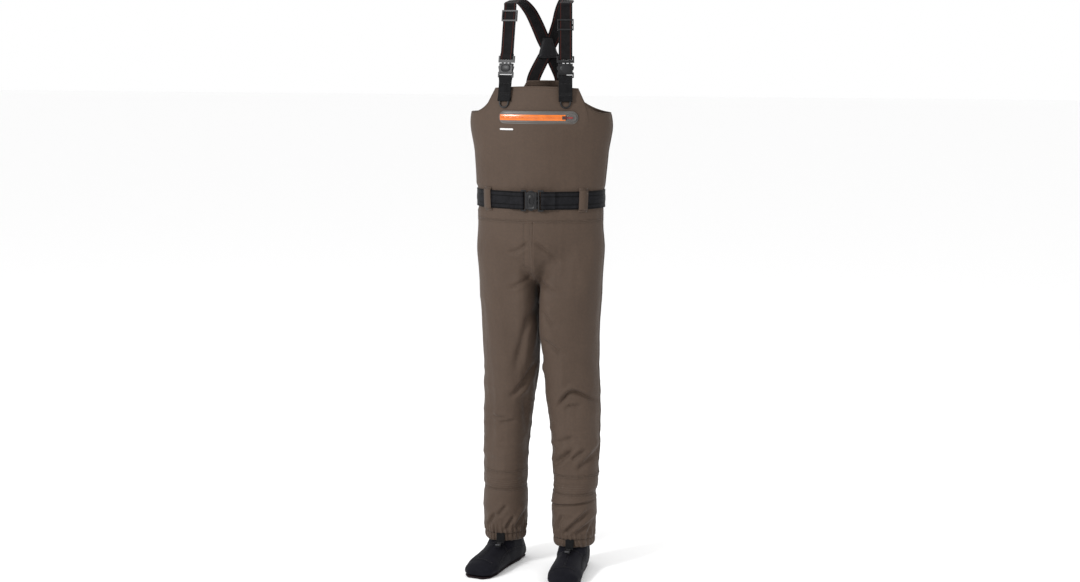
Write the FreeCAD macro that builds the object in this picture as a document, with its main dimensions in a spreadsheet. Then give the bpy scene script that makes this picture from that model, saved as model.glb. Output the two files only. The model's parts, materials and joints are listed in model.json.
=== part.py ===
"""Chest waders: breathable stockingfoot waders with webbing braces, belt, chest pocket and gravel guards.

Millimetres, +Z up, front towards -Y, +X is the wearer's left.  The soles stand on Z = 0.
"""
import FreeCAD
import Part
import Sketcher

import math
import os

Vector = FreeCAD.Vector
Rotation = FreeCAD.Rotation
Placement = FreeCAD.Placement

doc = FreeCAD.newDocument("chest_waders")

# ---------------------------------------------------------------- driving dimensions
SIZES = {
    # torso: heights above the sole, half widths and half depths of the oval tube
    "waist_height": 1006.5, "waist_half_width": 178, "waist_half_depth": 110,
    "belt_height": 1066, "belt_half_width": 180, "belt_half_depth": 108,
    "rib_height": 1190, "rib_half_width": 190, "rib_half_depth": 105,
    "armpit_height": 1306, "armpit_half_width": 199, "armpit_half_depth": 97,
    "bib_top_height": 1380, "bib_top_half_width": 160, "bib_top_half_depth": 80,
    "bib_corner_x": 124, "bib_corner_height": 1374, "armhole_mid_x": 141, "armhole_mid_height": 1330,
    "back_top_half_width": 56, "back_top_height": 1390, "back_armhole_x": 84,
    "back_armhole_height": 1352, "shell": 3, "facing_width": 14, "skin": 0.8, "gap": 0.3,
    # trousers
    "hip_height": 900, "hip_half_width": 177, "hip_half_depth": 112,
    "crotch_height": 815, "crotch_leg_x": 86.5, "crotch_leg_y": 0,
    "crotch_half_width": 85, "crotch_half_depth": 103,
    "saddle_drop": 62, "saddle_half_width": 118, "saddle_half_depth": 38,
    "thigh_height": 656, "thigh_leg_x": 81.5, "thigh_leg_y": 4,
    "thigh_half_width": 79, "thigh_half_depth": 92,
    "knee_height": 570, "knee_leg_x": 84, "knee_leg_y": 8,
    "knee_half_width": 77, "knee_half_depth": 86,
    "calf_height": 486, "calf_leg_x": 92, "calf_leg_y": 12,
    "calf_half_width": 74, "calf_half_depth": 78,
    "shin_height": 340, "shin_leg_x": 101, "shin_leg_y": 8,
    "shin_half_width": 64.5, "shin_half_depth": 68,
    "cuff_height": 190, "cuff_leg_x": 104, "cuff_leg_y": 0,
    "cuff_half_width": 60, "cuff_half_depth": 63,
    "shin_seam_height": 279, "left_stride": 30,
    # gravel guards
    "guard_top_height": 224, "hem_top_height": 100, "hem_low_height": 75,
    "guard_wall": 2.2, "hem_half_width": 58, "hem_half_depth": 66, "hem_wall": 4,
    "tab_narrow": 24, "tab_thickness": 2, "hook_width": 12, "hook_thickness": 1.6,
    "hook_reach": 14, "hook_height": 77.5, "hook_fall": 19, "hook_length": 22, "hook_radius": 4.5,
    "hook_turn": 150,
    # booties
    "neck_height": 88, "neck_half_width": 42, "neck_half_depth": 49, "neck_y": 2,
    "neoprene": 4, "sole_thickness": 6, "right_toe_out": 15, "left_toe_out": 1,
    # belt
    "belt_width": 50, "belt_thickness": 3.2, "belt_gap": 0.9, "belt_end_x": 30.5, "belt_section_x": 112,
    "front_loop_x": 134, "rear_loop_x": 62, "loop_width": 27, "loop_height": 67, "loop_thickness": 1.5,
    "loop_stand_off": 5.2,
    "belt_buckle_stand_off": 7.6, "belt_fold_radius": 5.7,
    "belt_buckle_width": 64, "belt_buckle_height": 59, "belt_buckle_depth": 11,
    # shoulder hardware, along each strap from the D-ring's bar
    "strap_x": 87, "strap_foot_y": -83.5, "strap_foot_height": 1343, "strap_yaw": 12, "strap_lean": 9.4,
    "webbing_width": 38, "webbing_thickness": 2,
    "ring_bar_length": 26, "ring_straight": 5, "ring_wire": 4.4,
    "keeper_width": 24, "keeper_wall": 2.4, "running_gap": 0.08,
    "female_low": 62, "female_width": 46, "housing_width": 40, "housing_low": 75, "housing_top": 101,
    "buckle_depth": 9, "slot_width": 39.4, "bar_height": 3.4,
    "male_low": 103.5, "male_top": 122, "male_width": 48, "tongue_width": 6, "prong_length": 22,
    "prong_width": 5, "pad_reach": 24, "pivot_x": 11,
    "left_adjuster_at": 209, "right_adjuster_at": 234, "adjuster_width": 45, "adjuster_height": 31,
    "adjuster_rail": 4.2, "front_strap_top": 262,
    # back straps and cross patch
    "patch_y": 98, "patch_low_height": 1454, "patch_top_height": 1511, "patch_low_width": 56,
    "patch_top_width": 26, "patch_thickness": 1.8, "patch_stand_off": 5.2,
    "strap_layer": 1.6, "back_strap_x": 41,
    # chest pocket: everything on it lies on one arc about a vertical axis
    "pocket_radius": 385, "pocket_front_y": -98.6, "pocket_height": 1295, "surround_left": -101,
    "surround_right": 122, "surround_height": 36, "surround_thickness": 0.9,
    "zip_left": -97, "zip_right": 88, "zip_tape_height": 16, "zip_tape_thickness": 0.7,
    "coil_height": 3.2, "coil_thickness": 0.9, "slider_x": 84, "slider_length": 11, "slider_height": 9,
    "puller_length": 22, "puller_width": 6.4, "puller_thickness": 1.8,
    "bag_drop": 150, "bag_thickness": 3.4, "bag_gap": 1.2,
    "label_x": -78, "label_height": 1262, "label_length": 40, "label_width": 5, "label_thickness": 0.5,
    "tape_width": 22, "tape_thickness": 0.7,
    # the whole assembly's place, so that the origin is under the middle of its box
    "assembly_y": 69.73,
}

sheet = doc.addObject("Spreadsheet::Sheet", "sizes")
for row, (alias, value) in enumerate(SIZES.items(), start=1):
    sheet.set(f"A{row}", alias.replace("_", " "))
    sheet.set(f"B{row}", str(value))
    sheet.setAlias(f"B{row}", alias)
doc.recompute()

nodes = []


def size(alias):
    """A driving dimension, read from the sheet."""
    return float(sheet.get(alias))


def ready(node, label, placement=None):
    """Label a finished sub-part, stand it in the assembly and add it to the list of nodes."""
    node.Label = label
    shift = Placement(Vector(0, size("assembly_y"), 0), Rotation())
    node.Placement = shift * (placement or Placement())
    nodes.append(node)
    return node


def soft(label, shape):
    """A sub-part of cloth, webbing or neoprene, whose curved solid is made here."""
    node = doc.addObject("Part::Feature", label)
    node.Shape = shape
    return ready(node, label, shape.Placement)


# ---------------------------------------------------------------- solids of the soft parts
def oval(x, y, height, half_width, half_depth):
    """A level ellipse as one closed wire that always starts on the same side."""
    circle = Part.Circle(Vector(0, 0, 0), Vector(0, 0, 1), 1).toShape()
    stretch = FreeCAD.Matrix()
    stretch.scale(half_width, half_depth, 1)
    stretch.move(Vector(x, y, height))
    return Part.Wire([circle.transformGeometry(stretch)])


def tube(stations, inset=0):
    """A solid through level ovals, each (x, y, height, half width, half depth), drawn in by inset."""
    wires = [oval(x, y, z, a - inset, b - inset) for x, y, z, a, b in stations]
    return Part.makeLoft(wires, True, True)


def between(stations, low, high):
    """The stations from low to high, with one interpolated at each end."""
    def at(height):
        for first, last in zip(stations, stations[1:]):
            span = (first[2], last[2])
            if min(span) <= height <= max(span):
                share = (height - first[2]) / (last[2] - first[2])
                return tuple(p + share * (q - p) for p, q in zip(first, last))
        return min(stations, key=lambda station: abs(station[2] - height))
    inner = [s for s in stations if low < s[2] < high]
    ends = [at(low), at(high)]
    return sorted(inner + ends, key=lambda station: station[2])


def prism(points, thickness, low_y):
    """A flat outline in X and Z, given as points and arcs, extruded along +Y from low_y."""
    edges = []
    start = points[0]
    for point in points[1:] + [points[0]]:
        if len(point) == 4:
            through, end = point[:2], point[2:]
            arc = Part.Arc(*[Vector(x, low_y, z) for x, z in (start[-2:], through, end)])
            edges.append(arc.toShape())
        elif Vector(start[-2], start[-1], 0).distanceToPoint(Vector(point[0], point[1], 0)) > 1e-6:
            here, there = Vector(start[-2], low_y, start[-1]), Vector(point[0], low_y, point[1])
            edges.append(Part.makeLine(here, there))
        start = point
    return Part.Face(Part.Wire(edges)).extrude(Vector(0, thickness, 0))


def slab(low, high):
    """An axis-aligned box between two corners."""
    low, high = Vector(*low), Vector(*high)
    side = high - low
    return Part.makeBox(side.x, side.y, side.z, low)


def ribbon(points, widths, normals, width, thickness):
    """A strap: flat rectangles, square to its path, joined along it."""
    wires = []
    for point, across, normal in zip(points, widths, normals):
        across = Vector(*across).normalize() * (width / 2)
        normal = Vector(*normal).normalize() * (thickness / 2)
        point = Vector(*point)
        corners = [point - across - normal, point + across - normal,
                   point + across + normal, point - across + normal]
        wires.append(Part.makePolygon(corners + corners[:1]))
    return Part.makeLoft(wires, True, True)


def rail(points, across, width, thickness):
    """A ribbon whose width lies along one direction, with normals square to its bends."""
    across = Vector(*across).normalize()
    path = [Vector(*p) for p in points]
    normals = []
    for i in range(len(path)):
        ahead = path[min(i + 1, len(path) - 1)] - path[max(i - 1, 0)]
        normals.append(tuple(across.cross(ahead)))
    return ribbon(points, [tuple(across)] * len(path), normals, width, thickness)


def lace_hook(start):
    """A flat strip that falls forwards from its pivot and turns up in an open hook."""
    fall = math.radians(size("hook_fall"))
    r = size("hook_radius")
    along = Vector(0, -math.cos(fall), -math.sin(fall))
    up = Vector(0, -math.sin(fall), math.cos(fall))
    end = start + along * size("hook_length")
    centre = end + up * r
    on_arc = [centre - up * r * math.cos(turn) + along * r * math.sin(turn)
              for turn in (0, math.radians(size("hook_turn") / 2), math.radians(size("hook_turn")))]
    path = Part.Wire([Part.makeLine(start, end), Part.Arc(*on_arc).toShape()])
    wide = Vector(size("hook_width") / 2, 0, 0)
    thick = up * (size("hook_thickness") / 2)
    corners = [start - wide - thick, start + wide - thick, start + wide + thick, start - wide + thick]
    profile = Part.makePolygon(corners + corners[:1])
    return path.makePipeShell([profile], True, False)


# ---------------------------------------------------------------- torso
TORSO = [
    (0, 0, size(f"{name}_height"), size(f"{name}_half_width"), size(f"{name}_half_depth"))
    for name in ("waist", "belt", "rib", "armpit", "bib_top")
]
above = size("bib_top_height") + 30
slope = [(high - low) / (TORSO[-1][2] - TORSO[-2][2]) for low, high in zip(TORSO[-2], TORSO[-1])]
TORSO.append(tuple(v + s * 30 for v, s in zip(TORSO[-1], slope)))
shell = size("shell")
gap = size("gap")
skin = size("skin")
waist = size("waist_height")
HALF = 260


def torso_layer(inner, outer, low=waist, high=above):
    """The part of the torso's wall from inner to outer millimetres outside the cloth's face."""
    stations = between(TORSO, low, high)
    return tube(stations, -outer).cut(tube(stations, -inner))


armpit = (size("armpit_half_width") + 1, size("armpit_height"))
front_arc = (size("armhole_mid_x"), size("armhole_mid_height"),
             size("bib_corner_x"), size("bib_corner_height"))
back_arc = (size("back_armhole_x"), size("back_armhole_height"),
            size("back_top_half_width"), size("back_top_height"))


def bib_outline(arc, top, drop=0):
    """The outline of a bib: level seam, sides, armhole curves and top edge, lowered by drop."""
    mid_x, mid_z, end_x, end_z = arc
    side, low = armpit
    return [
        (-HALF, waist - 1), (HALF, waist - 1), (HALF, low - drop), (side, low - drop),
        (mid_x, mid_z - drop, end_x, end_z - drop), (0, top - drop), (-end_x, end_z - drop),
        (-mid_x, mid_z - drop, -side, low - drop), (-HALF, low - drop),
    ]


front_outline = bib_outline(front_arc, size("bib_top_height"))
back_outline = bib_outline(back_arc, size("back_top_height") + 1)
front_prism = prism(front_outline, HALF, -HALF)
back_prism = prism(back_outline, HALF, 0)
wall = torso_layer(-shell, 0)
soft("front_bib_panel", wall.common(front_prism))
soft("back_bib_panel", wall.common(back_prism))

facing = torso_layer(gap, gap + skin, size("armpit_height") - 60, above)
drop = size("facing_width")
for label, outline, top, arc, low_y in (
    ("front_bib_facing", front_prism, size("bib_top_height"), front_arc, -HALF),
    ("back_bib_facing", back_prism, size("back_top_height") + 1, back_arc, 0),
):
    lower = prism(bib_outline(arc, top, drop), HALF, low_y)
    soft(label, facing.common(outline).cut(lower))

tape = size("tape_width") / 2
soft("waist_seam_tape", torso_layer(
    -shell - gap - size("tape_thickness"), -shell - gap, waist + 0.5, waist + 2 * tape))

# ---------------------------------------------------------------- trousers
LEG_NAMES = ("crotch", "thigh", "knee", "calf", "shin", "cuff")


def leg_stations(side):
    """Ovals down one leg: side is +1 for the wearer's left leg, which stands further forward."""
    crotch, cuff = size("crotch_height"), size("cuff_height")
    stations = []
    for name in LEG_NAMES:
        height = size(f"{name}_height")
        stride = size("left_stride") * (crotch - height) / (crotch - cuff) if side > 0 else 0
        stations.append((side * size(f"{name}_leg_x"), size(f"{name}_leg_y") - stride, height,
                         size(f"{name}_half_width"), size(f"{name}_half_depth")))
    seat = list(stations[0])
    seat[2] = size("hip_height")
    return [tuple(seat)] + stations


def trousers(inset):
    """Hips, saddle and both legs as one solid, drawn in by inset."""
    hips = [
        TORSO[0],
        (0, 0, size("hip_height"), size("hip_half_width"), size("hip_half_depth")),
        (0, 0, size("crotch_height"), size("crotch_leg_x") + size("crotch_half_width") + 0.6,
         size("crotch_half_depth") + 1),
        (0, 0, size("crotch_height") - size("saddle_drop") + inset,
         size("saddle_half_width"), size("saddle_half_depth")),
    ]
    solid = tube(hips, inset)
    for side in (1, -1):
        solid = solid.fuse(tube(leg_stations(side), inset))
    return solid


trouser_wall = trousers(0).cut(trousers(shell))


def side_seam(side):
    """Where a leg's side seam runs in Y: straight from the hip to the cuff's middle."""
    return leg_stations(side)[-1][1]


def seam_prism(side, low, high, front):
    """The space in front of or behind one leg's side seam, on that leg's side, from low to high."""
    knee = size("crotch_height")
    cuff = size("cuff_height")
    edge = -HALF if front else HALF
    seam = [(0, size("waist_height") + 1), (0, knee), (side_seam(side), cuff), (side_seam(side), -1)]
    corners = [(edge, seam[0][1])] + seam + [(edge, -1)]
    points = [Vector(0, y, z) for y, z in corners]
    wedge = Part.Face(Part.makePolygon(points + points[:1])).extrude(Vector(side * HALF, 0, 0))
    reach = sorted((0, side * HALF))
    return wedge.common(slab((reach[0], -HALF, low), (reach[1], HALF, high)))


SIDES = {"left": 1, "right": -1}
for name, side in SIDES.items():
    low, seam = size("cuff_height"), size("shin_seam_height")
    soft(f"{name}_front_leg_panel", trouser_wall.common(seam_prism(side, seam, waist, True)))
    soft(f"{name}_shin_panel", trouser_wall.common(seam_prism(side, low, seam, True)))
    soft(f"{name}_back_leg_panel", trouser_wall.common(seam_prism(side, low, waist, False)))


# ---------------------------------------------------------------- gravel guards and booties
def foot_origin(side):
    """The middle of the ankle, on the floor."""
    return Vector(side * size("cuff_leg_x"), leg_stations(side)[-1][1], 0)


# along the foot from heel to toe: y, half width, height of the top
FOOT = [(80, 27, 47), (60, 35, 67), (47, 36, 95), (22, 43, 116), (-28, 44, 108), (-58, 43, 72),
        (-110, 46, 61), (-160, 50, 52), (-200, 44, 41), (-222, 25, 28)]
ROUND_SHARE = 0.62


def foot_solid(inset):
    """Foot and neck as one solid about the ankle's axis, drawn in by inset."""
    wires = []
    for y, half_width, top in FOOT:
        shift = inset if y > 0 else -inset
        shift = shift if y in (FOOT[0][0], FOOT[-1][0]) else 0
        rise = ROUND_SHARE * top - inset
        circle = Part.Circle(Vector(0, 0, 0), Vector(0, 1, 0), 1).toShape()
        stretch = FreeCAD.Matrix()
        stretch.scale(half_width - inset, 1, rise)
        stretch.move(Vector(0, y - shift, top - inset - rise))
        wires.append(Part.Wire([circle.transformGeometry(stretch)]))
    foot = Part.makeLoft(wires, True, True)
    neck = [
        (0, size("neck_y"), size("neck_height"), size("neck_half_width"), size("neck_half_depth")),
        (0, 0, size("cuff_height"), size("cuff_half_width") - 1, size("cuff_half_depth") - 1),
    ]
    return foot.fuse(tube(neck, inset))


def guard_stations(side):
    """Ovals of the gravel guard's outside, from the hem up to its top seam."""
    shift = leg_stations(side)[-1][1]
    top = between(leg_stations(side), size("guard_top_height"), size("guard_top_height"))[0]
    cuff = leg_stations(side)[-1]
    room = gap + size("guard_wall")
    return [
        (side * size("cuff_leg_x"), shift - 1, size("hem_top_height"),
         size("hem_half_width") + 1, size("hem_half_depth") + 1),
        (cuff[0], cuff[1], cuff[2], cuff[3] + room, cuff[4] + room),
        (top[0], top[1], top[2], top[3] + room, top[4] + room),
    ]


GUARD_STEPS = 3           # ruled bands in each span of a guard
sole_thickness = size("sole_thickness")
for name, side in SIDES.items():
    origin = foot_origin(side)
    toe_out = Placement(origin, Rotation(Vector(0, 0, 1), side * size(f"{name}_toe_out")))
    outer = foot_solid(0)
    inner = foot_solid(size("neoprene"))
    low_box = slab((-HALF, -HALF, -HALF), (HALF, HALF, sole_thickness))
    upper = outer.cut(inner).cut(low_box)
    soft(f"{name}_bootie_upper", upper.transformed(toe_out.toMatrix()))
    slice_wires = outer.slice(Vector(0, 0, 1), sole_thickness + 0.5)
    outline = max(slice_wires, key=lambda wire: wire.BoundBox.DiagonalLength)
    sole = Part.Face(outline).extrude(Vector(0, 0, -sole_thickness))
    sole.translate(Vector(0, 0, -0.5))
    soft(f"{name}_bootie_sole", sole.transformed(toe_out.toMatrix()))

    stations = guard_stations(side)
    fine = [tuple(p + (q - p) * step / GUARD_STEPS for p, q in zip(first, last))
            for first, last in zip(stations, stations[1:]) for step in range(GUARD_STEPS)] + stations[-1:]
    soft(f"{name}_gravel_guard", tube(fine).cut(tube(fine, size("guard_wall"))))
    hem_low, hem_top = size("hem_low_height"), size("hem_top_height") - gap
    hem = [(origin.x, origin.y - 1, height, size("hem_half_width"), size("hem_half_depth"))
           for height in (hem_low, hem_top)]
    soft(f"{name}_guard_hem", tube(hem).cut(tube(hem, size("hem_wall"))))
    face = origin.y - 1 - size("hem_half_depth") - size("tab_thickness") / 2 - gap - 0.5
    soft(f"{name}_hook_tab", rail(
        [(origin.x, face, hem_top), (origin.x, face, 82), (origin.x, face - 6, 77),
         (origin.x, face - 20, 73.5)], (1, 0, 0), size("tab_narrow"), size("tab_thickness")))
    soft(f"{name}_lace_hook", lace_hook(Vector(origin.x, face - size("hook_reach"), size("hook_height"))))

# ---------------------------------------------------------------- belt, its loops and the seam label
belt_low = size("belt_height") - size("belt_width") / 2
belt_high = size("belt_height") + size("belt_width") / 2
belt_in = size("belt_gap")
belt_ring = torso_layer(belt_in, belt_in + size("belt_thickness"), belt_low, belt_high)
belt_face = -size("belt_half_depth") - size("belt_buckle_stand_off")


def belt_fold(bar_x, half_bar, half_depth):
    """The belt's end, folded round one upright bar of its buckle."""
    middle = Vector(bar_x, belt_face, belt_low)
    fold = Part.makeCylinder(size("belt_fold_radius"), size("belt_width"), middle)
    return fold.cut(slab((bar_x - half_bar - gap, belt_face - half_depth - gap, belt_low - 1),
                         (bar_x + half_bar + gap, belt_face + half_depth + gap, belt_high + 1)))


end_x, section_x = size("belt_end_x"), size("belt_section_x")
belt_round = belt_ring.cut(slab((-end_x, -HALF, 0), (section_x, 0, 2000)))
soft("belt_webbing", belt_round.fuse(belt_fold(-29.5, 2.5, 2.5)))
belt_section = belt_ring.common(slab((end_x, -HALF, 0), (section_x - gap, 0, 2000)))
soft("belt_front_section", belt_section.fuse(belt_fold(29.75, 2.25, 3.2)))


def belt_loop(x, back):
    """A loop sewn above and below the belt: its strip stands off the cloth where the belt runs."""
    half, thickness = size("loop_height") / 2, size("loop_thickness")
    middle = size("belt_height")
    stand = size("loop_stand_off")
    strip = torso_layer(stand, stand + thickness, middle - half, middle + half)
    pads = torso_layer(gap, stand, middle - half, middle + half)
    pads = pads.cut(slab((-HALF, -HALF, belt_low - 1), (HALF, HALF, belt_high + 1)))
    reach = (0, HALF) if back else (-HALF, 0)
    window = slab((x - size("loop_width") / 2, reach[0], 0), (x + size("loop_width") / 2, reach[1], 2000))
    return strip.fuse(pads).common(window)


for label, across, back in (("front_belt_loops", size("front_loop_x"), False),
                            ("rear_belt_loops", size("rear_loop_x"), True)):
    soft(label, Part.makeCompound([belt_loop(s * across, back) for s in (-1, 1)]))

label_x, label_z = size("label_x"), size("label_height")
half_length, half_width = size("label_length") / 2, size("label_width") / 2
label_box = slab((label_x - half_length, -HALF, label_z - half_width),
                 (label_x + half_length, 0, label_z + half_width))
soft("chest_label", torso_layer(gap, gap + size("label_thickness"), 1200, 1300).common(label_box))

# ---------------------------------------------------------------- chest pocket
pocket_axis = Vector(0, size("pocket_front_y") + size("pocket_radius"), 0)


def pocket_layer(inner, outer, left, right, height, rounded=False, middle=None):
    """A strip on the pocket's arc, from inner to outer millimetres outside it."""
    middle = middle or size("pocket_height")
    low = pocket_axis + Vector(0, 0, middle - height / 2)
    ring = Part.makeCylinder(size("pocket_radius") + outer, height, low)
    ring = ring.cut(Part.makeCylinder(size("pocket_radius") + inner, height, low))
    if not rounded:
        return ring.common(slab((left, -HALF, 0), (right, 0, 2000)))
    half = height / 2
    outline = [(left + half, middle - half), (right - half, middle - half),
               (right, middle, right - half, middle + half), (left + half, middle + half),
               (left, middle, left + half, middle - half)]
    return ring.common(prism(outline, HALF, -HALF))


rise = size("surround_thickness")
soft("pocket_surround", pocket_layer(0.6, 0.6 + rise, size("surround_left"), size("surround_right"),
                                     size("surround_height"), True))
tape_in = 0.6 + rise + 0.1
tape_out = tape_in + size("zip_tape_thickness")
soft("zipper_tape", pocket_layer(tape_in, tape_out, size("zip_left"), size("zip_right"),
                                 size("zip_tape_height")))
coil_out = tape_out + 0.1 + size("coil_thickness")
soft("zipper_coil", pocket_layer(tape_out + 0.1, coil_out, size("zip_left") + 3, size("zip_right") - 2,
                                 size("coil_height")))
garage_left = size("slider_x") + size("slider_length") / 2 + 1.5
soft("zipper_garage", pocket_layer(
    tape_out + 0.1, coil_out + 1.2, garage_left, size("surround_right") - 4, size("zip_tape_height") + 6))
bag_out = -shell - size("bag_gap")
bag_in = bag_out - size("bag_thickness")
bag_low = size("pocket_height") - size("bag_drop")
bag = torso_layer(bag_in, bag_out, bag_low, size("pocket_height") + 10)
hollow = torso_layer(bag_in + skin, bag_out - skin, bag_low + skin, size("pocket_height") + 10 - skin)
bag_sides = (size("zip_left") - 6, size("zip_right") + 6)
bag = bag.common(slab((bag_sides[0], -HALF, 0), (bag_sides[1], 0, 2000)))
hollow = hollow.common(slab((bag_sides[0] + skin, -HALF, 0), (bag_sides[1] - skin, 0, 2000)))
soft("pocket_bag", bag.cut(hollow))


# ---------------------------------------------------------------- moulded and wire parts
def body(name):
    """An empty PartDesign body."""
    return doc.addObject("PartDesign::Body", name)


def block(owner, name, spans, at, cut=False):
    """A box feature: spans and centre are three expressions of the sheet's cells each."""
    kind = "PartDesign::SubtractiveBox" if cut else "PartDesign::AdditiveBox"
    box = owner.newObject(kind, name)
    for prop, span in zip(("Length", "Width", "Height"), spans):
        box.setExpression(prop, expression(span))
    for axis, span, centre in zip("xyz", spans, at):
        box.setExpression(f"Placement.Base.{axis}", f"{expression(centre)} - ({expression(span)}) / 2")
    return box


def expression(text):
    """Turn the words of a formula into references to the sheet's cells."""
    words = []
    for word in str(text).split():
        words.append(f"sizes.{word}" if word in SIZES else word)
    return "(" + " ".join(words) + ")"


def plane(owner, role):
    """One of a body's own origin planes."""
    return next(f for f in owner.Origin.OriginFeatures if f.Role == role)


def sketch(owner, name, role, height=None):
    """A sketch on one of the body's origin planes, lifted by an expression."""
    drawn = owner.newObject("Sketcher::SketchObject", name)
    drawn.AttachmentSupport = [(plane(owner, role), "")]
    drawn.MapMode = "FlatFace"
    if height is not None:
        drawn.setExpression("AttachmentOffset.Base.z", expression(height))
    return drawn


def polygon(drawn, points):
    """A closed outline of straight lines, each corner fixed by expressions of the sheet's cells."""
    count = len(points)
    for i in range(count):
        drawn.addGeometry(Part.LineSegment(Vector(i, i * i, 0), Vector(i + 1, (i + 1) ** 2, 0)))
    for i in range(count):
        drawn.addConstraint(Sketcher.Constraint("Coincident", i, 2, (i + 1) % count, 1))
    for i, point in enumerate(points):
        for kind, value in zip(("DistanceX", "DistanceY"), point):
            index = drawn.addConstraint(Sketcher.Constraint(kind, -1, 1, i, 1, float(i + 1)))
            drawn.setExpression(f"Constraints[{index}]", expression(value))


def pad(owner, drawn, name, length, centred=True):
    """A pad of a sketch by an expression's length."""
    feature = owner.newObject("PartDesign::Pad", name)
    feature.Profile = drawn
    feature.setExpression("Length", expression(length))
    feature.Midplane = centred
    return feature


def strap_placement(side, along=0):
    """The frame of one shoulder strap: X across, -Y outwards, Z up the strap from the D-ring's bar."""
    turn = Rotation(Vector(0, 0, 1), side * size("strap_yaw"))
    lean = Rotation(Vector(1, 0, 0), -size("strap_lean"))
    start = Vector(side * size("strap_x"), size("strap_foot_y"), size("strap_foot_height"))
    rotation = turn * lean
    return Placement(start + rotation.multVec(Vector(0, 0, along)), rotation)


def wire_ring():
    """A D-ring: a straight bar, two short sides and a half circle below, of one round wire."""
    half = size("ring_bar_length") / 2
    r = size("ring_wire") / 2
    bend = 3.0
    diagonal = bend * math.sqrt(0.5)
    side_end = -bend - size("ring_straight")
    line = [
        Part.makeLine(Vector(-half + bend, 0, 0), Vector(half - bend, 0, 0)),
        Part.Arc(Vector(half - bend, 0, 0), Vector(half - bend + diagonal, 0, -bend + diagonal),
                 Vector(half, 0, -bend)).toShape(),
        Part.makeLine(Vector(half, 0, -bend), Vector(half, 0, side_end)),
        Part.Arc(Vector(half, 0, side_end), Vector(0, 0, side_end - half),
                 Vector(-half, 0, side_end)).toShape(),
        Part.makeLine(Vector(-half, 0, side_end), Vector(-half, 0, -bend)),
        Part.Arc(Vector(-half, 0, -bend), Vector(-half + bend - diagonal, 0, -bend + diagonal),
                 Vector(-half + bend, 0, 0)).toShape(),
    ]
    profile = Part.Wire([Part.makeCircle(r, Vector(0, 0, 0), Vector(1, 0, 0))])
    return Part.Wire(line).makePipeShell([profile], True, False)


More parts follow.
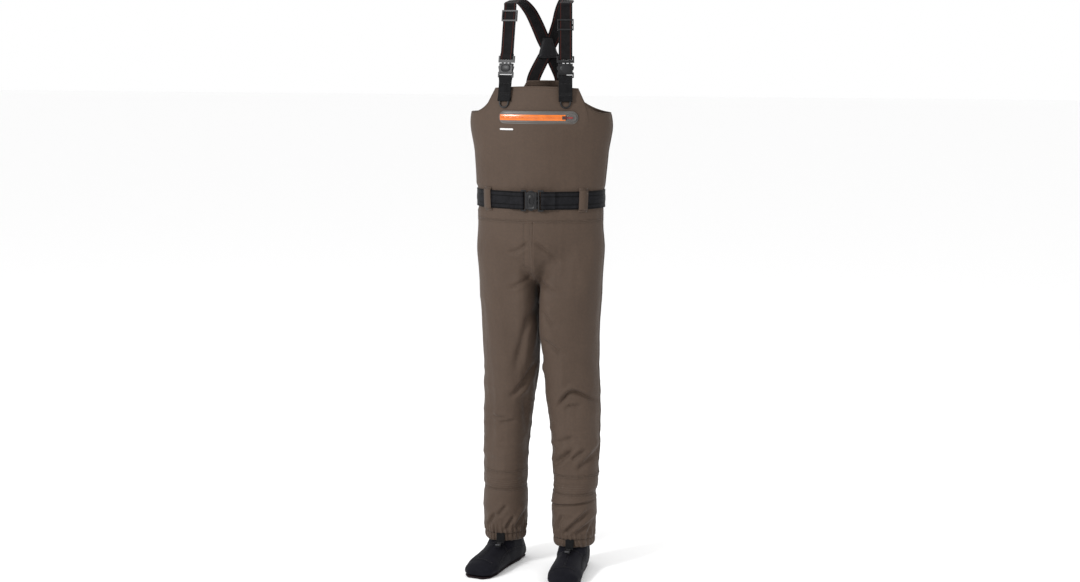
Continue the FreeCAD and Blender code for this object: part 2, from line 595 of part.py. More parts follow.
for name, side in SIDES.items():
    place = strap_placement(side)
    ring = doc.addObject("Part::Feature", f"{name}_d_ring")
    ring.Shape = wire_ring()
    ready(ring, f"{name}_d_ring", place)

    # webbing tab with its D-ring keeper below and its fold round the female buckle's bar above
    half = size("webbing_width") / 2
    inner = size("ring_wire") / 2 + size("running_gap")
    keeper_r = inner + size("keeper_wall")
    keeper_start = Vector(-size("keeper_width") / 2 + 3, 0, 0)
    keeper = Part.makeCylinder(keeper_r, size("keeper_width") - 6, keeper_start, Vector(1, 0, 0))
    bar_at = size("female_low") + size("bar_height") / 2
    strip = slab((-half, -1.0, keeper_r - 0.5), (half, 1.4, bar_at - 4.2))
    fold = Part.makeCylinder(5.0, 2 * half, Vector(-half, 0, bar_at), Vector(1, 0, 0))
    tab = strip.fuse(keeper).fuse(fold)
    tab = tab.cut(Part.makeCylinder(inner, 2 * half, Vector(-half, 0, 0), Vector(1, 0, 0)))
    tab = tab.cut(slab((-half - 1, -2.6, bar_at - 2.3), (half + 1, 2.6, bar_at + 2.3)))
    webbing = doc.addObject("Part::Feature", f"{name}_shoulder_tab")
    webbing.Shape = tab
    ready(webbing, f"{name}_shoulder_tab", place)

    # female half: a webbing bar below and a housing of two plates, open at its sides and top
    female = body(f"{name}_buckle_female")
    block(female, "Frame", ("female_width", "4.4", "housing_low - female_low + 2"),
          ("0", "0", "( housing_low + female_low + 2 ) / 2"))
    block(female, "Slot", ("slot_width", "20", "housing_low - female_low - bar_height - 4"),
          ("0", "0", "( housing_low + female_low + bar_height - 4 ) / 2"), True)
    for face, sign in (("Front", "0 - "), ("Back", "")):
        block(female, face, ("housing_width", "1.8", "housing_top - housing_low"),
              ("0", f"{sign} ( buckle_depth - 1.8 ) / 2", "( housing_top + housing_low ) / 2"))
    block(female, "Floor", ("housing_width", "buckle_depth", "3.2"), ("0", "0", "housing_low + 1.6"))
    for label, sign in (("Left", "0 - "), ("Right", "")):
        block(female, label + "Web", ("1.6", "buckle_depth", "housing_top - housing_low"),
              (f"{sign} ( tongue_width / 2 + 1.3 )", "0", "( housing_top + housing_low ) / 2"))
    ready(female, f"{name}_buckle_female", place)

    # male half: a webbing bar in a wide frame, and a guide tongue that runs between the webs
    male = body(f"{name}_buckle_male")
    block(male, "Frame", ("male_width", "5.6", "male_top - male_low"),
          ("0", "0", "( male_top + male_low ) / 2"))
    block(male, "Slot", ("slot_width", "20", "7.4"), ("0", "0", "male_top - bar_height - 3.7"), True)
    block(male, "Tongue", ("tongue_width - 1", "3.4", "21"), ("0", "0", "male_low - 10"))
    ready(male, f"{name}_buckle_male", place)

    # two sprung prongs, one each side of the tongue, whose pads stand out of the housing's open sides
    for label, sign in (("inner", -side), ("outer", side)):
        prong = body(f"{name}_{label}_prong")
        outline = sketch(prong, "Outline", "XZ_Plane")
        s = "0 - " if sign < 0 else ""
        polygon(outline, [
            (f"{s}( pivot_x - prong_width / 2 )", "male_low - 0.4"),
            (f"{s}( pivot_x + prong_width / 2 )", "male_low - 0.4"),
            (f"{s}( pad_reach - 5 )", "male_low - prong_length / 2 + 3"),
            (f"{s}( pad_reach )", "male_low - prong_length / 2"),
            (f"{s}( pad_reach - 2 )", "male_low - prong_length + 2"),
            (f"{s}( pad_reach - 9 )", "male_low - prong_length"),
        ])
        pad(prong, outline, "Arm", "buckle_depth - 4.6")
        ready(prong, f"{name}_{label}_prong", place)

    # ladder adjuster: a ring in front of the strap, a centre bar behind it, and two side rails
    adjuster = body(f"{name}_strap_adjuster")
    middle = f"{name}_adjuster_at"
    block(adjuster, "Face", ("adjuster_width", "2.4", "adjuster_height"),
          ("0", "0 - webbing_thickness / 2 - 0.4 - 1.2", middle))
    block(adjuster, "Window", ("slot_width", "20", "adjuster_height - 2 * adjuster_rail"),
          ("0", "0 - 6", middle), True)
    for label, sign in (("Left", "0 - "), ("Right", "")):
        block(adjuster, label + "Rail", ("2.4", "webbing_thickness + 6", "adjuster_height"),
              (f"{sign} ( adjuster_width / 2 - 1.2 )", "0", middle))
    block(adjuster, "CentreBar", ("adjuster_width", "2.4", "5"),
          ("0", "webbing_thickness / 2 + 0.4 + 1.2", middle))
    ready(adjuster, f"{name}_strap_adjuster", place)

    # elastic front strap: a fold round the male half's bar, then flat up to the shoulder
    t = size("webbing_thickness") / 2
    bar = size("male_top") - size("bar_height") / 2
    fold = Part.makeCylinder(5.3, 2 * half - 1, Vector(-half + 0.5, 0, bar), Vector(1, 0, 0))
    fold = fold.cut(slab((-half - 1, -3.1, bar - 2.1), (half + 1, 3.1, bar + 2.1)))
    fold = fold.cut(slab((-half - 1, -9, bar - 9), (half + 1, 9, bar - 5.4)))
    strip = slab((-half, -t, bar + 3.0), (half, t, size("front_strap_top")))
    strap = doc.addObject("Part::Feature", f"{name}_front_strap")
    strap.Shape = strip.fuse(fold)
    ready(strap, f"{name}_front_strap", place)

    # rear strap: over the shoulder, down and across the back, and on to the far side of the back bib
    top = place.multVec(Vector(0, 0, size("front_strap_top") + gap))
    up = place.Rotation.multVec(Vector(0, 0, 1))
    out = place.Rotation.multVec(Vector(0, -1, 0))
    across = place.Rotation.multVec(Vector(1, 0, 0))
    lift = size("patch_y") - side * size("strap_layer")
    far = -side * size("back_strap_x")
    patch_mid = (size("patch_low_height") + size("patch_top_height")) / 2
    down = Vector(-side * 0.62, 0, -1).normalize()
    square = Vector(side * 1, 0, -0.62 * 1).normalize()
    points = [
        top, top + up * 6,
        Vector(side * 77, -14, 1613), Vector(side * 70, 10, 1617.5), Vector(side * 59, 38, 1609),
        Vector(side * 44, 66, 1584), Vector(side * 31, 88, 1550),
        Vector(side * 19, lift - 2, 1518), Vector(side * 13, lift, 1504),
        Vector(-side * 9, lift, 1462), Vector(-side * 16, lift - 1, 1449),
        Vector(far * 0.86, 90, 1410), Vector(far, 83.5, 1388),
        Vector(far * 1.08, 88, 1362),
    ]
    widths = [
        across, across,
        Vector(side, 0.10, -0.02), Vector(side, 0.26, -0.14), Vector(side, 0.34, -0.28),
        Vector(side, 0.30, -0.42), Vector(side, 0.16, -0.52),
        square, square, square, square,
        Vector(side, -0.10, -0.50), Vector(side, -0.22 * 1, -0.42), Vector(side, 0.30, -0.30),
    ]
    normals = []
    for i, point in enumerate(points):
        ahead = points[min(i + 1, len(points) - 1)] - points[max(i - 1, 0)]
        wide = Vector(widths[i]).normalize()
        wide = (wide - ahead * (wide.dot(ahead) / ahead.dot(ahead))).normalize()
        widths[i] = wide
        normals.append(wide.cross(ahead))
    soft(f"{name}_rear_strap", ribbon(points, widths, normals, 2 * half, 2 * t))

# cross patch: an inner and an outer layer of synthetic leather with the crossed straps between them
for label, sign in (("cross_patch_inner", -1), ("cross_patch_outer", 1)):
    patch = body(label)
    outline = sketch(patch, "Outline", "XZ_Plane")
    polygon(outline, [
        ("0 - patch_low_width / 2", "patch_low_height"), ("patch_low_width / 2", "patch_low_height"),
        ("patch_low_width / 2 - 4", "patch_low_height + 20"), ("patch_top_width / 2", "patch_top_height"),
        ("0 - patch_top_width / 2", "patch_top_height"),
        ("0 - patch_low_width / 2 + 4", "patch_low_height + 20"),
    ])
    pad(patch, outline, "Layer", "patch_thickness")
    ready(patch, label, Placement(Vector(0, size("patch_y") + sign * size("patch_stand_off"), 0), Rotation()))

# ---------------------------------------------------------------- belt buckle, drawn across the belt
belt_place = Placement(Vector(0, belt_face, size("belt_height")), Rotation())
female = body("belt_buckle_female")
block(female, "Frame", ("14", "5", "belt_buckle_height"), ("0 - belt_buckle_width / 2 + 7", "0", "0"))
block(female, "Slot", ("6", "20", "belt_width + 1.5"), ("0 - belt_buckle_width / 2 + 8", "0", "0"), True)
for label, sign in (("Front", "0 - "), ("Back", "")):
    block(female, label, ("32", "2", "belt_buckle_height - 12"),
          ("0 - 3", f"{sign} ( belt_buckle_depth / 2 - 1 )", "0"))
block(female, "Floor", ("3.4", "belt_buckle_depth", "belt_buckle_height - 12"), ("0 - 18.4", "0", "0"))
for label, sign in (("Low", "0 - "), ("High", "")):
    block(female, label + "Web", ("32", "belt_buckle_depth", "1.8"), ("0 - 3", "0", f"{sign} 5"))
ready(female, "belt_buckle_female", belt_place)

male = body("belt_buckle_male")
block(male, "Frame", ("16", "6.4", "belt_buckle_height"), ("belt_buckle_width / 2 - 8", "0", "0"))
block(male, "Slot", ("7", "20", "belt_width + 1.5"), ("belt_buckle_width / 2 - 8", "0", "0"), True)
block(male, "Tongue", ("26", "4", "6.6"), ("4.5", "0", "0"))
ready(male, "belt_buckle_male", belt_place)
for label, sign in (("lower", "0 - "), ("upper", "")):
    prong = body(f"belt_{label}_prong")
    outline = sketch(prong, "Outline", "XZ_Plane")
    polygon(outline, [
        ("15.6", f"{sign}10"), ("15.6", f"{sign}17"), ("6", f"{sign}24"),
        ("0 - 2", f"{sign}28.5"), ("0 - 12", f"{sign}26"), ("0 - 13", f"{sign}17"),
    ])
    pad(prong, outline, "Arm", "belt_buckle_depth - 5")
    ready(prong, f"belt_{label}_prong", belt_place)

# ---------------------------------------------------------------- zip slider and its puller
slider_x = size("slider_x")
turn = math.degrees(math.asin(slider_x / size("pocket_radius")))
reach = size("pocket_radius") + tape_out + 0.2
slider_place = Placement(pocket_axis + Vector(0, 0, size("pocket_height")), Rotation(Vector(0, 0, 1), turn))
slider = body("zipper_slider")
block(slider, "Plate", ("slider_length", "1.6", "slider_height"), ("0", f"0 - {reach + 1.9}", "0"))
for label, sign in (("Low", "0 - "), ("High", "")):
    block(slider, label + "Wing", ("slider_length", "1.8", "1.4"),
          ("0", f"0 - {reach + 1.0}", f"{sign} ( slider_height / 2 - 0.7 )"))
block(slider, "Bridge", ("2.4", "2.2", "2.2"), ("0 - 1.2", f"0 - {reach + 3.4}", "0"))
ready(slider, "zipper_slider", slider_place)
puller = body("zipper_puller")
block(puller, "Grip", ("puller_length", "puller_thickness", "puller_width"),
      ("puller_length / 2 + 0.6", f"0 - {reach + 3.9}", "0"))
ready(puller, "zipper_puller", slider_place)

# ---------------------------------------------------------------- recompute, test and write
doc.recompute()
for item in doc.Objects:
    if "Invalid" in item.State or "Error" in item.State:
        raise RuntimeError(f"{item.Label} did not compute: {item.State}")
for node in nodes:
    shape = node.Shape
    if shape.isNull() or not shape.isValid() or not shape.Solids:
        raise RuntimeError(f"{node.Label} has no valid solid")

os.makedirs("parts", exist_ok=True)
for node in nodes:
    node.Shape.exportStep(f"parts/{node.Label}.step")
print(len(nodes), "nodes")
for node in nodes:
    print(f"{node.Label:26s} solids {len(node.Shape.Solids)}  {node.Shape.Volume / 1000:9.1f} cm3")
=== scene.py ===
"""Chest waders: the looks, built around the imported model.  Metres, +Z up, front towards -Y."""

import json
import math

import bmesh
import bpy
import numpy as np
from mathutils import Matrix, Vector
from mathutils.bvhtree import BVHTree


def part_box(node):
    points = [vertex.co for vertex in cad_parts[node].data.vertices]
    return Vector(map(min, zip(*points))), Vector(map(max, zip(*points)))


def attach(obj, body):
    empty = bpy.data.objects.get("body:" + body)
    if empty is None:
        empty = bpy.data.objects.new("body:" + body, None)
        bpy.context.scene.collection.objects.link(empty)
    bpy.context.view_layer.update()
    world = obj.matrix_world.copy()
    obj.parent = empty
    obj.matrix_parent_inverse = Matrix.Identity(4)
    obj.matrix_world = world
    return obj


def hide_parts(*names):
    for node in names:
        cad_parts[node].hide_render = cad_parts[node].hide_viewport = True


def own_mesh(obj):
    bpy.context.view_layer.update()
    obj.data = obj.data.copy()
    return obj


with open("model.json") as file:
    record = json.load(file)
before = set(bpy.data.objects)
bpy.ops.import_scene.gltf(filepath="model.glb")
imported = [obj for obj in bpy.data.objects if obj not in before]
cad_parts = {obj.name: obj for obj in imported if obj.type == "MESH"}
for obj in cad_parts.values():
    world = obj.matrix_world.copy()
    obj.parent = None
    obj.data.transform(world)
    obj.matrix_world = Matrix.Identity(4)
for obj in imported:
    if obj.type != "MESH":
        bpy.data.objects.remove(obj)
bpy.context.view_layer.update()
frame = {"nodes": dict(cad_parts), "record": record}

MM = 0.001

# ---------------------------------------------------------------- places shared with the CAD model
AXIS_Y = 0.06973          # the torso's vertical axis
WAIST_Z = 1.0065
BELT_Z = 1.066
CUFF_Z = 0.190
SHIN_SEAM_Z = 0.279
GUARD_TOP_Z = 0.224
HEM_TOP_Z = 0.0997
HEM_LOW_Z = 0.075
STRIDE = 0.030            # how much further forward the left foot stands
BRACE_WIDTH = 0.038       # standard webbing, as the adjusters and buckles are made for
CAMERA_HEIGHT = 1.60
CAMERA_DISTANCE = 5.6
CAMERA_TURN = math.radians(12.0)
CAMERA_LENS = 66.2        # millimetres, on a 36 mm sensor
SIDES = {"left": 1, "right": -1}


# ---------------------------------------------------------------- camera, floor and light
def make_camera():
    """The camera, in front of the waders and a little to the wearer's left, at head height."""
    aim = Vector((-0.0028, AXIS_Y, 0.797))
    data = bpy.data.cameras.new("camera")
    data.sensor_width = 36
    data.lens = CAMERA_LENS
    camera = bpy.data.objects.new("camera", data)
    bpy.context.scene.collection.objects.link(camera)
    aside, forward = math.sin(CAMERA_TURN) * CAMERA_DISTANCE, math.cos(CAMERA_TURN) * CAMERA_DISTANCE
    camera.location = (aside, AXIS_Y - forward, CAMERA_HEIGHT)
    camera.rotation_euler = (aim - camera.location).to_track_quat("-Z", "Y").to_euler()
    bpy.context.scene.camera = camera


def area_light(name, place, aim, size, power, color=(1, 1, 1)):
    """A square soft light that looks at a point."""
    data = bpy.data.lights.new(name, "AREA")
    data.shape = "SQUARE"
    data.size = size
    data.energy = power
    data.color = color
    light = bpy.data.objects.new(name, data)
    light.location = place
    light.rotation_euler = (Vector(aim) - Vector(place)).to_track_quat("-Z", "Y").to_euler()
    bpy.context.scene.collection.objects.link(light)


def make_studio():
    """A pale floor, a pale surround and three soft lights."""
    bpy.context.scene.view_settings.view_transform = "Standard"
    world = bpy.data.worlds.new("studio")
    world.use_nodes = True
    background = world.node_tree.nodes["Background"]
    background.inputs["Color"].default_value = (1, 1, 1, 1)
    background.inputs["Strength"].default_value = 1.0
    bpy.context.scene.world = world
    bpy.ops.mesh.primitive_plane_add(size=60, location=(0, 0, -0.0004))
    floor = bpy.context.object
    floor.name = "floor"
    floor.data.materials.append(plain("floor_white", (0.97, 0.97, 0.97), 0.9))
    area_light("key", (-2.2, -3.2, 2.9), (0, 0, 0.95), 0.9, 135)
    area_light("fill", (3.0, -2.4, 1.6), (0, 0, 0.8), 2.0, 4)
    area_light("rim", (0.8, 3.0, 2.6), (0, 0, 1.0), 1.8, 26)


# ---------------------------------------------------------------- materials
def new_material(name):
    """A material with its node tree, shader and a short way to add nodes."""
    material = bpy.data.materials.new(name)
    material.use_nodes = True
    tree = material.node_tree
    shader = tree.nodes["Principled BSDF"]
    return material, tree, shader


def plain(name, color, roughness):
    """A plain matte surface, for the stage only."""
    material, _, shader = new_material(name)
    shader.inputs["Base Color"].default_value = (*color, 1)
    shader.inputs["Roughness"].default_value = roughness
    return material


def node(tree, kind, **inputs):
    """A shader node with its inputs and properties set."""
    made = tree.nodes.new(kind)
    for key, value in inputs.items():
        if key in made.inputs:
            made.inputs[key].default_value = value
        else:
            setattr(made, key, value)
    return made


def ramp(tree, source, stops):
    """A colour ramp from (place, colour) stops."""
    made = tree.nodes.new("ShaderNodeValToRGB")
    elements = made.color_ramp.elements
    while len(elements) < len(stops):
        elements.new(0.5)
    for element, (place, color) in zip(elements, stops):
        element.position = place
        element.color = (*color, 1)
    tree.links.new(source, made.inputs["Fac"])
    return made.outputs["Color"]


def math_node(tree, operation, *operands):
    """A math node whose operands are sockets or numbers."""
    made = tree.nodes.new("ShaderNodeMath")
    made.operation = operation
    for index, value in enumerate(operands):
        if isinstance(value, (int, float)):
            made.inputs[index].default_value = value
        else:
            tree.links.new(value, made.inputs[index])
    return made.outputs[0]


def bump(tree, shader, height, distance, strength=1.0, below=None):
    """Join a height to the shader's normal through a bump node."""
    made = tree.nodes.new("ShaderNodeBump")
    made.inputs["Distance"].default_value = distance
    made.inputs["Strength"].default_value = strength
    tree.links.new(height, made.inputs["Height"])
    if below is not None:
        tree.links.new(below, made.inputs["Normal"])
    tree.links.new(made.outputs["Normal"], shader.inputs["Normal"])
    return made.outputs["Normal"]


def uv_axes(tree):
    """The surface's own length and width in metres, as two sockets."""
    place = tree.nodes.new("ShaderNodeUVMap")
    parts = tree.nodes.new("ShaderNodeSeparateXYZ")
    tree.links.new(place.outputs["UV"], parts.inputs[0])
    return parts.outputs["X"], parts.outputs["Y"]


def waves(tree, along, pitch):
    """A sine from 0 to 1 with one crest for each pitch, along one socket."""
    phase = math_node(tree, "MULTIPLY", along, 2 * math.pi / pitch)
    return math_node(tree, "MULTIPLY_ADD", math_node(tree, "SINE", phase), 0.5, 0.5)


def weave_height(tree, across, along, pitch):
    """The height of a plain weave from its two directions."""
    first = math_node(tree, "SINE", math_node(tree, "MULTIPLY", across, 2 * math.pi / pitch))
    second = math_node(tree, "SINE", math_node(tree, "MULTIPLY", along, 2 * math.pi / pitch))
    return math_node(tree, "MULTIPLY", first, second)


def mixed(tree, factor, first, second, blend="MIX"):
    """A colour mix of two colours or sockets."""
    made = tree.nodes.new("ShaderNodeMix")
    made.data_type = "RGBA"
    made.blend_type = blend
    for socket, value in ((made.inputs[0], factor), (made.inputs[6], first), (made.inputs[7], second)):
        if isinstance(value, (int, float)):
            socket.default_value = value
        elif isinstance(value, tuple):
            socket.default_value = (*value, 1)
        else:
            tree.links.new(value, socket)
    return made.outputs[2]


def cloud(tree, vector, scale, detail=4.0, roughness=0.55):
    """Soft noise over a vector socket."""
    made = node(tree, "ShaderNodeTexNoise", Scale=scale, Detail=detail, Roughness=roughness)
    if vector is not None:
        tree.links.new(vector, made.inputs["Vector"])
    return made.outputs["Fac"]


def object_place(tree):
    """Position in the piece's own frame, which doesn't move when the piece does."""
    return tree.nodes.new("ShaderNodeTexCoord").outputs["Object"]


def laminate_material():
    """Coated taupe face fabric: fine plain weave, faint cloudiness and a soft sheen."""
    material, tree, shader = new_material("laminate")
    place = object_place(tree)
    across, along = uv_axes(tree)
    broad = cloud(tree, place, 6.0, 3.0)
    fine = cloud(tree, place, 160.0, 2.0)
    base = ramp(tree, broad, [(0.30, (0.0540, 0.0352, 0.0246)), (0.72, (0.0632, 0.0420, 0.0298))])
    flecks = ramp(tree, fine, [(0.35, (0.93, 0.93, 0.93)), (0.68, (1.05, 1.04, 1.03))])
    tree.links.new(mixed(tree, 1.0, base, flecks, "MULTIPLY"), shader.inputs["Base Color"])
    rough = math_node(tree, "MULTIPLY_ADD", fine, 0.10, 0.62)
    tree.links.new(rough, shader.inputs["Roughness"])
    shader.inputs["Sheen Weight"].default_value = 0.05
    shader.inputs["Sheen Roughness"].default_value = 0.45
    shader.inputs["Specular IOR Level"].default_value = 0.22
    weave = weave_height(tree, across, along, 0.0011)
    bump(tree, shader, weave, 0.00012, 0.5)
    return material


def finish(name, dark, light, scale, roughness, grain=0.0, grain_scale=700.0, specular=0.5, metallic=0.0):
    """A surface with cloudy colour, uneven roughness and a fine grain."""
    material, tree, shader = new_material(name)
    place = object_place(tree)
    broad = cloud(tree, place, scale, 3.0)
    tree.links.new(ramp(tree, broad, [(0.32, dark), (0.70, light)]), shader.inputs["Base Color"])
    fine = cloud(tree, place, grain_scale, 2.0)
    tree.links.new(math_node(tree, "MULTIPLY_ADD", fine, 0.14, roughness - 0.07), shader.inputs["Roughness"])
    shader.inputs["Specular IOR Level"].default_value = specular
    shader.inputs["Metallic"].default_value = metallic
    if grain:
        bump(tree, shader, fine, grain, 1.0)
    return material


def woven(name, dark, light, pitch, rise, roughness, stripes=(), tint=(0, 0, 0), sheen=0.015):
    """Webbing: a weave that follows the strap's length, with painted shade in the weave's hollows and a
    painted highlight on its crests, and coloured lines at fixed places across it.
    """
    material, tree, shader = new_material(name)
    place = object_place(tree)
    across, along = uv_axes(tree)
    color = ramp(tree, cloud(tree, place, 70.0, 3.0), [(0.30, dark), (0.70, light)])
    weave = weave_height(tree, across, along, pitch)
    # painted shade and highlight: the colour is darkened in the weave's hollows and lightened on its crests,
    # following the weave's height
    shade = ramp(tree, math_node(tree, "MULTIPLY_ADD", weave, 0.5, 0.5),
                 [(0.0, (0.72, 0.72, 0.72)), (1.0, (1.2, 1.2, 1.2))])
    color = mixed(tree, 1.0, color, shade, "MULTIPLY")
    for middle, half in stripes:
        off = math_node(tree, "SUBTRACT", math_node(tree, "ABSOLUTE", across), middle)
        line = math_node(tree, "LESS_THAN", math_node(tree, "ABSOLUTE", off), half)
        color = mixed(tree, line, color, tint)
    tree.links.new(color, shader.inputs["Base Color"])
    shader.inputs["Roughness"].default_value = roughness
    shader.inputs["Sheen Weight"].default_value = sheen
    shader.inputs["Sheen Roughness"].default_value = 0.4
    shader.inputs["Specular IOR Level"].default_value = 0.07
    bump(tree, shader, weave, rise, 0.8)
    return material


def knit_material(name, dark, light, pitch):
    """Knitted face of neoprene: fine ribs of loops over a slightly uneven foam."""
    material, tree, shader = new_material(name)
    place = object_place(tree)
    parts = tree.nodes.new("ShaderNodeSeparateXYZ")
    tree.links.new(place, parts.inputs[0])
    broad = cloud(tree, place, 26.0, 4.0)
    fine = cloud(tree, place, 900.0, 2.0)
    tree.links.new(ramp(tree, broad, [(0.30, dark), (0.72, light)]), shader.inputs["Base Color"])
    tree.links.new(math_node(tree, "MULTIPLY_ADD", fine, 0.16, 0.56), shader.inputs["Roughness"])
    shader.inputs["Sheen Weight"].default_value = 0.02
    shader.inputs["Sheen Roughness"].default_value = 0.5
    shader.inputs["Specular IOR Level"].default_value = 0.05
    ribs = weave_height(tree, parts.outputs["X"], parts.outputs["Z"], pitch)
    below = bump(tree, shader, ribs, 0.00010, 0.6)
    bump(tree, shader, fine, 0.00012, 0.5, below)
    return material


def coated_zip_material():
    """Glossy orange film over a zip's tape, with the cross ribs of the coil showing through."""
    material, tree, shader = new_material("zip_coating")
    place = object_place(tree)
    across, along = uv_axes(tree)
    ribs = waves(tree, along, 0.0013)
    middle = math_node(tree, "LESS_THAN", math_node(tree, "ABSOLUTE", across), 0.0042)
    shown = math_node(tree, "MULTIPLY", ribs, middle)
    base = ramp(tree, cloud(tree, place, 40.0, 3.0),
                [(0.30, (0.52, 0.112, 0.008)), (0.70, (0.66, 0.160, 0.012))])
    shade = ramp(tree, shown, [(0.0, (1.0, 1.0, 1.0)), (1.0, (0.80, 0.74, 0.7))])
    tree.links.new(mixed(tree, 1.0, base, shade, "MULTIPLY"), shader.inputs["Base Color"])
    tree.links.new(math_node(tree, "MULTIPLY_ADD", cloud(tree, place, 240.0), 0.10, 0.19),
                   shader.inputs["Roughness"])
    shader.inputs["Specular IOR Level"].default_value = 0.35
    shader.inputs["Coat Weight"].default_value = 0.25
    shader.inputs["Coat Roughness"].default_value = 0.12
    bump(tree, shader, shown, 0.00015, 0.6)
    return material


make_camera()
make_studio()
LAMINATE = laminate_material()
THREAD = finish("thread", (0.075, 0.056, 0.043), (0.100, 0.075, 0.058), 400.0, 0.55, 0.00005, 3000.0)
DARK_THREAD = finish("dark_thread", (0.020, 0.019, 0.020), (0.034, 0.032, 0.033), 400.0, 0.5, 0.00005, 3000.0)
WEBBING = woven("webbing", (0.0050, 0.0050, 0.0054), (0.0090, 0.0090, 0.0098), 0.0019, 0.00025, 0.62)
ELASTIC = woven("brace_elastic", (0.0045, 0.0043, 0.0046), (0.0085, 0.0080, 0.0086), 0.0016, 0.00018, 0.66,
                stripes=((0.0133, 0.0005),), tint=(0.070, 0.013, 0.008))
BELT_CLOTH = woven("belt_webbing", (0.0060, 0.0060, 0.0070), (0.0110, 0.0110, 0.0130), 0.0021, 0.00025, 0.50,
                   stripes=((0.0118, 0.0013), (0.0225, 0.0016)), tint=(0.0018, 0.0018, 0.0020))
NEOPRENE = knit_material("neoprene", (0.0048, 0.0048, 0.0072), (0.0085, 0.0085, 0.0120), 0.0012)
NEOPRENE_TAPE = finish("neoprene_tape", (0.0050, 0.0050, 0.0066), (0.0085, 0.0085, 0.0106), 60.0, 0.58,
                       0.00010, 900.0, specular=0.06)
SOLE = finish("sole_rubber", (0.0090, 0.0056, 0.0066), (0.0150, 0.0085, 0.0098), 34.0, 0.62, 0.00020, 500.0,
              specular=0.12)
ACETAL = finish("acetal", (0.0065, 0.0065, 0.0072), (0.0110, 0.0110, 0.0120), 60.0, 0.40, 0.00005, 1600.0,
                specular=0.26)
HOOK_METAL = finish("hook_metal", (0.022, 0.022, 0.024), (0.045, 0.045, 0.048), 90.0, 0.36, 0.00004, 1500.0,
                    metallic=0.6)
PATCH = finish("patch_leather", (0.0045, 0.0045, 0.0055), (0.0080, 0.0080, 0.0095), 50.0, 0.34, 0.00012,
               420.0, specular=0.16)
SEAM_TAPE = finish("seam_tape", (0.30, 0.30, 0.31), (0.38, 0.38, 0.39), 24.0, 0.42, 0.00008, 500.0)
PRINT = finish("print", (0.52, 0.52, 0.53), (0.66, 0.66, 0.66), 120.0, 0.55, 0.00005, 900.0)
POCKET_FILM = finish("pocket_film", (0.062, 0.057, 0.053), (0.078, 0.073, 0.068), 30.0, 0.40, 0.00006, 600.0)
POCKET_LINING = finish("pocket_lining", (0.15, 0.15, 0.155), (0.21, 0.21, 0.215), 30.0, 0.62, 0.00010, 800.0)
ZIP_COATING = coated_zip_material()
ZIP_COIL = finish("zip_coil", (0.60, 0.130, 0.012), (0.76, 0.180, 0.018), 90.0, 0.24, 0.00003, 900.0)
SLIDER_METAL = finish("slider_metal", (0.030, 0.030, 0.033), (0.055, 0.055, 0.060), 90.0, 0.32, 0.00003,
                      1500.0, metallic=0.8)
PULLER_CORD = finish("puller_cord", (0.125, 0.012, 0.012), (0.200, 0.022, 0.020), 90.0, 0.50, 0.00008, 900.0)
SLOT_FINISHES = {
    "laminate": LAMINATE, "elastic_hem": LAMINATE, "neoprene": NEOPRENE, "sole": SOLE,
                 "belt_webbing": BELT_CLOTH,
    "webbing": WEBBING, "brace_webbing": ELASTIC, "hook_metal": HOOK_METAL, "patch_leather": PATCH,
    "seam_tape": SEAM_TAPE, "print": PRINT, "pocket_film": POCKET_FILM, "zip_coating": ZIP_COATING,
    "zip_coil": ZIP_COIL, "pocket_lining": POCKET_LINING, "slider_metal": SLIDER_METAL,
    "puller_cord": PULLER_CORD, "acetal": ACETAL,
}
slot_of = {part["node"]: part["material_slot"] for part in frame["record"]["subparts"]}
body_of = {member: body for body,
           members in frame["record"]["behaviour"]["bodies"].items() for member in members}
for member, obj in frame["nodes"].items():
    obj.data.materials.clear()
    obj.data.materials.append(SLOT_FINISHES[slot_of[member]])


# ---------------------------------------------------------------- the garment's shape
# height, half width, half depth of the oval trunk
TRUNK = np.array([
    (0.700, 0.150, 0.070), (0.815, 0.1721, 0.104), (0.900, 0.177, 0.112), (1.0065, 0.178, 0.110),
    (1.066, 0.180, 0.108), (1.190, 0.190, 0.105), (1.306, 0.199, 0.097), (1.380, 0.160, 0.080),
    (1.410, 0.1442, 0.0731),
])
# height, middle across, middle front to back, half width, half depth of each leg
LEG = np.array([
    (0.190, 0.104, 0.000, 0.060, 0.063), (0.340, 0.101, 0.008, 0.0645, 0.068),
    (0.486, 0.092, 0.012, 0.0745, 0.078), (0.580, 0.0845, 0.008, 0.0790, 0.086),
    (0.625, 0.0840, 0.006, 0.0808, 0.090), (0.656, 0.0836, 0.004, 0.0816, 0.092),
                (0.815, 0.0865, 0.000, 0.085, 0.103),
    (0.905, 0.0865, 0.000, 0.085, 0.103),
])
CROTCH_Z = 0.815
LEAN = {1: 0.0, -1: 0.0050}      # how much slimmer the outside of each thigh hangs


def through(table, z):
    """Values of a table at heights z, on a smooth curve through its rows."""
    z = np.clip(z, table[0, 0], table[-1, 0])
    k = np.clip(np.searchsorted(table[:, 0], z, side="right") - 1, 0, len(table) - 2)
    span = table[k + 1, 0] - table[k, 0]
    t = (z - table[k, 0]) / span
    slopes = np.gradient(table[:, 1:], table[:, 0], axis=0)
    p, q = table[k, 1:], table[k + 1, 1:]
    m, n = slopes[k] * span[..., None], slopes[k + 1] * span[..., None]
    t = t[..., None]
    return ((2 * t**3 - 3 * t**2 + 1) * p + (t**3 - 2 * t**2 + t) * m
            + (-2 * t**3 + 3 * t**2) * q + (t**3 - t**2) * n)


def ease(value, low, high):
    """0 below low, 1 above high and a smooth rise between them."""
    t = np.clip((value - low) / (high - low), 0, 1)
    return t * t * (3 - 2 * t)


def bump_at(value, middle, width):
    """A round bump, 1 at the middle and close to 0 a width away."""
    return np.exp(-((value - middle) / width) ** 2)


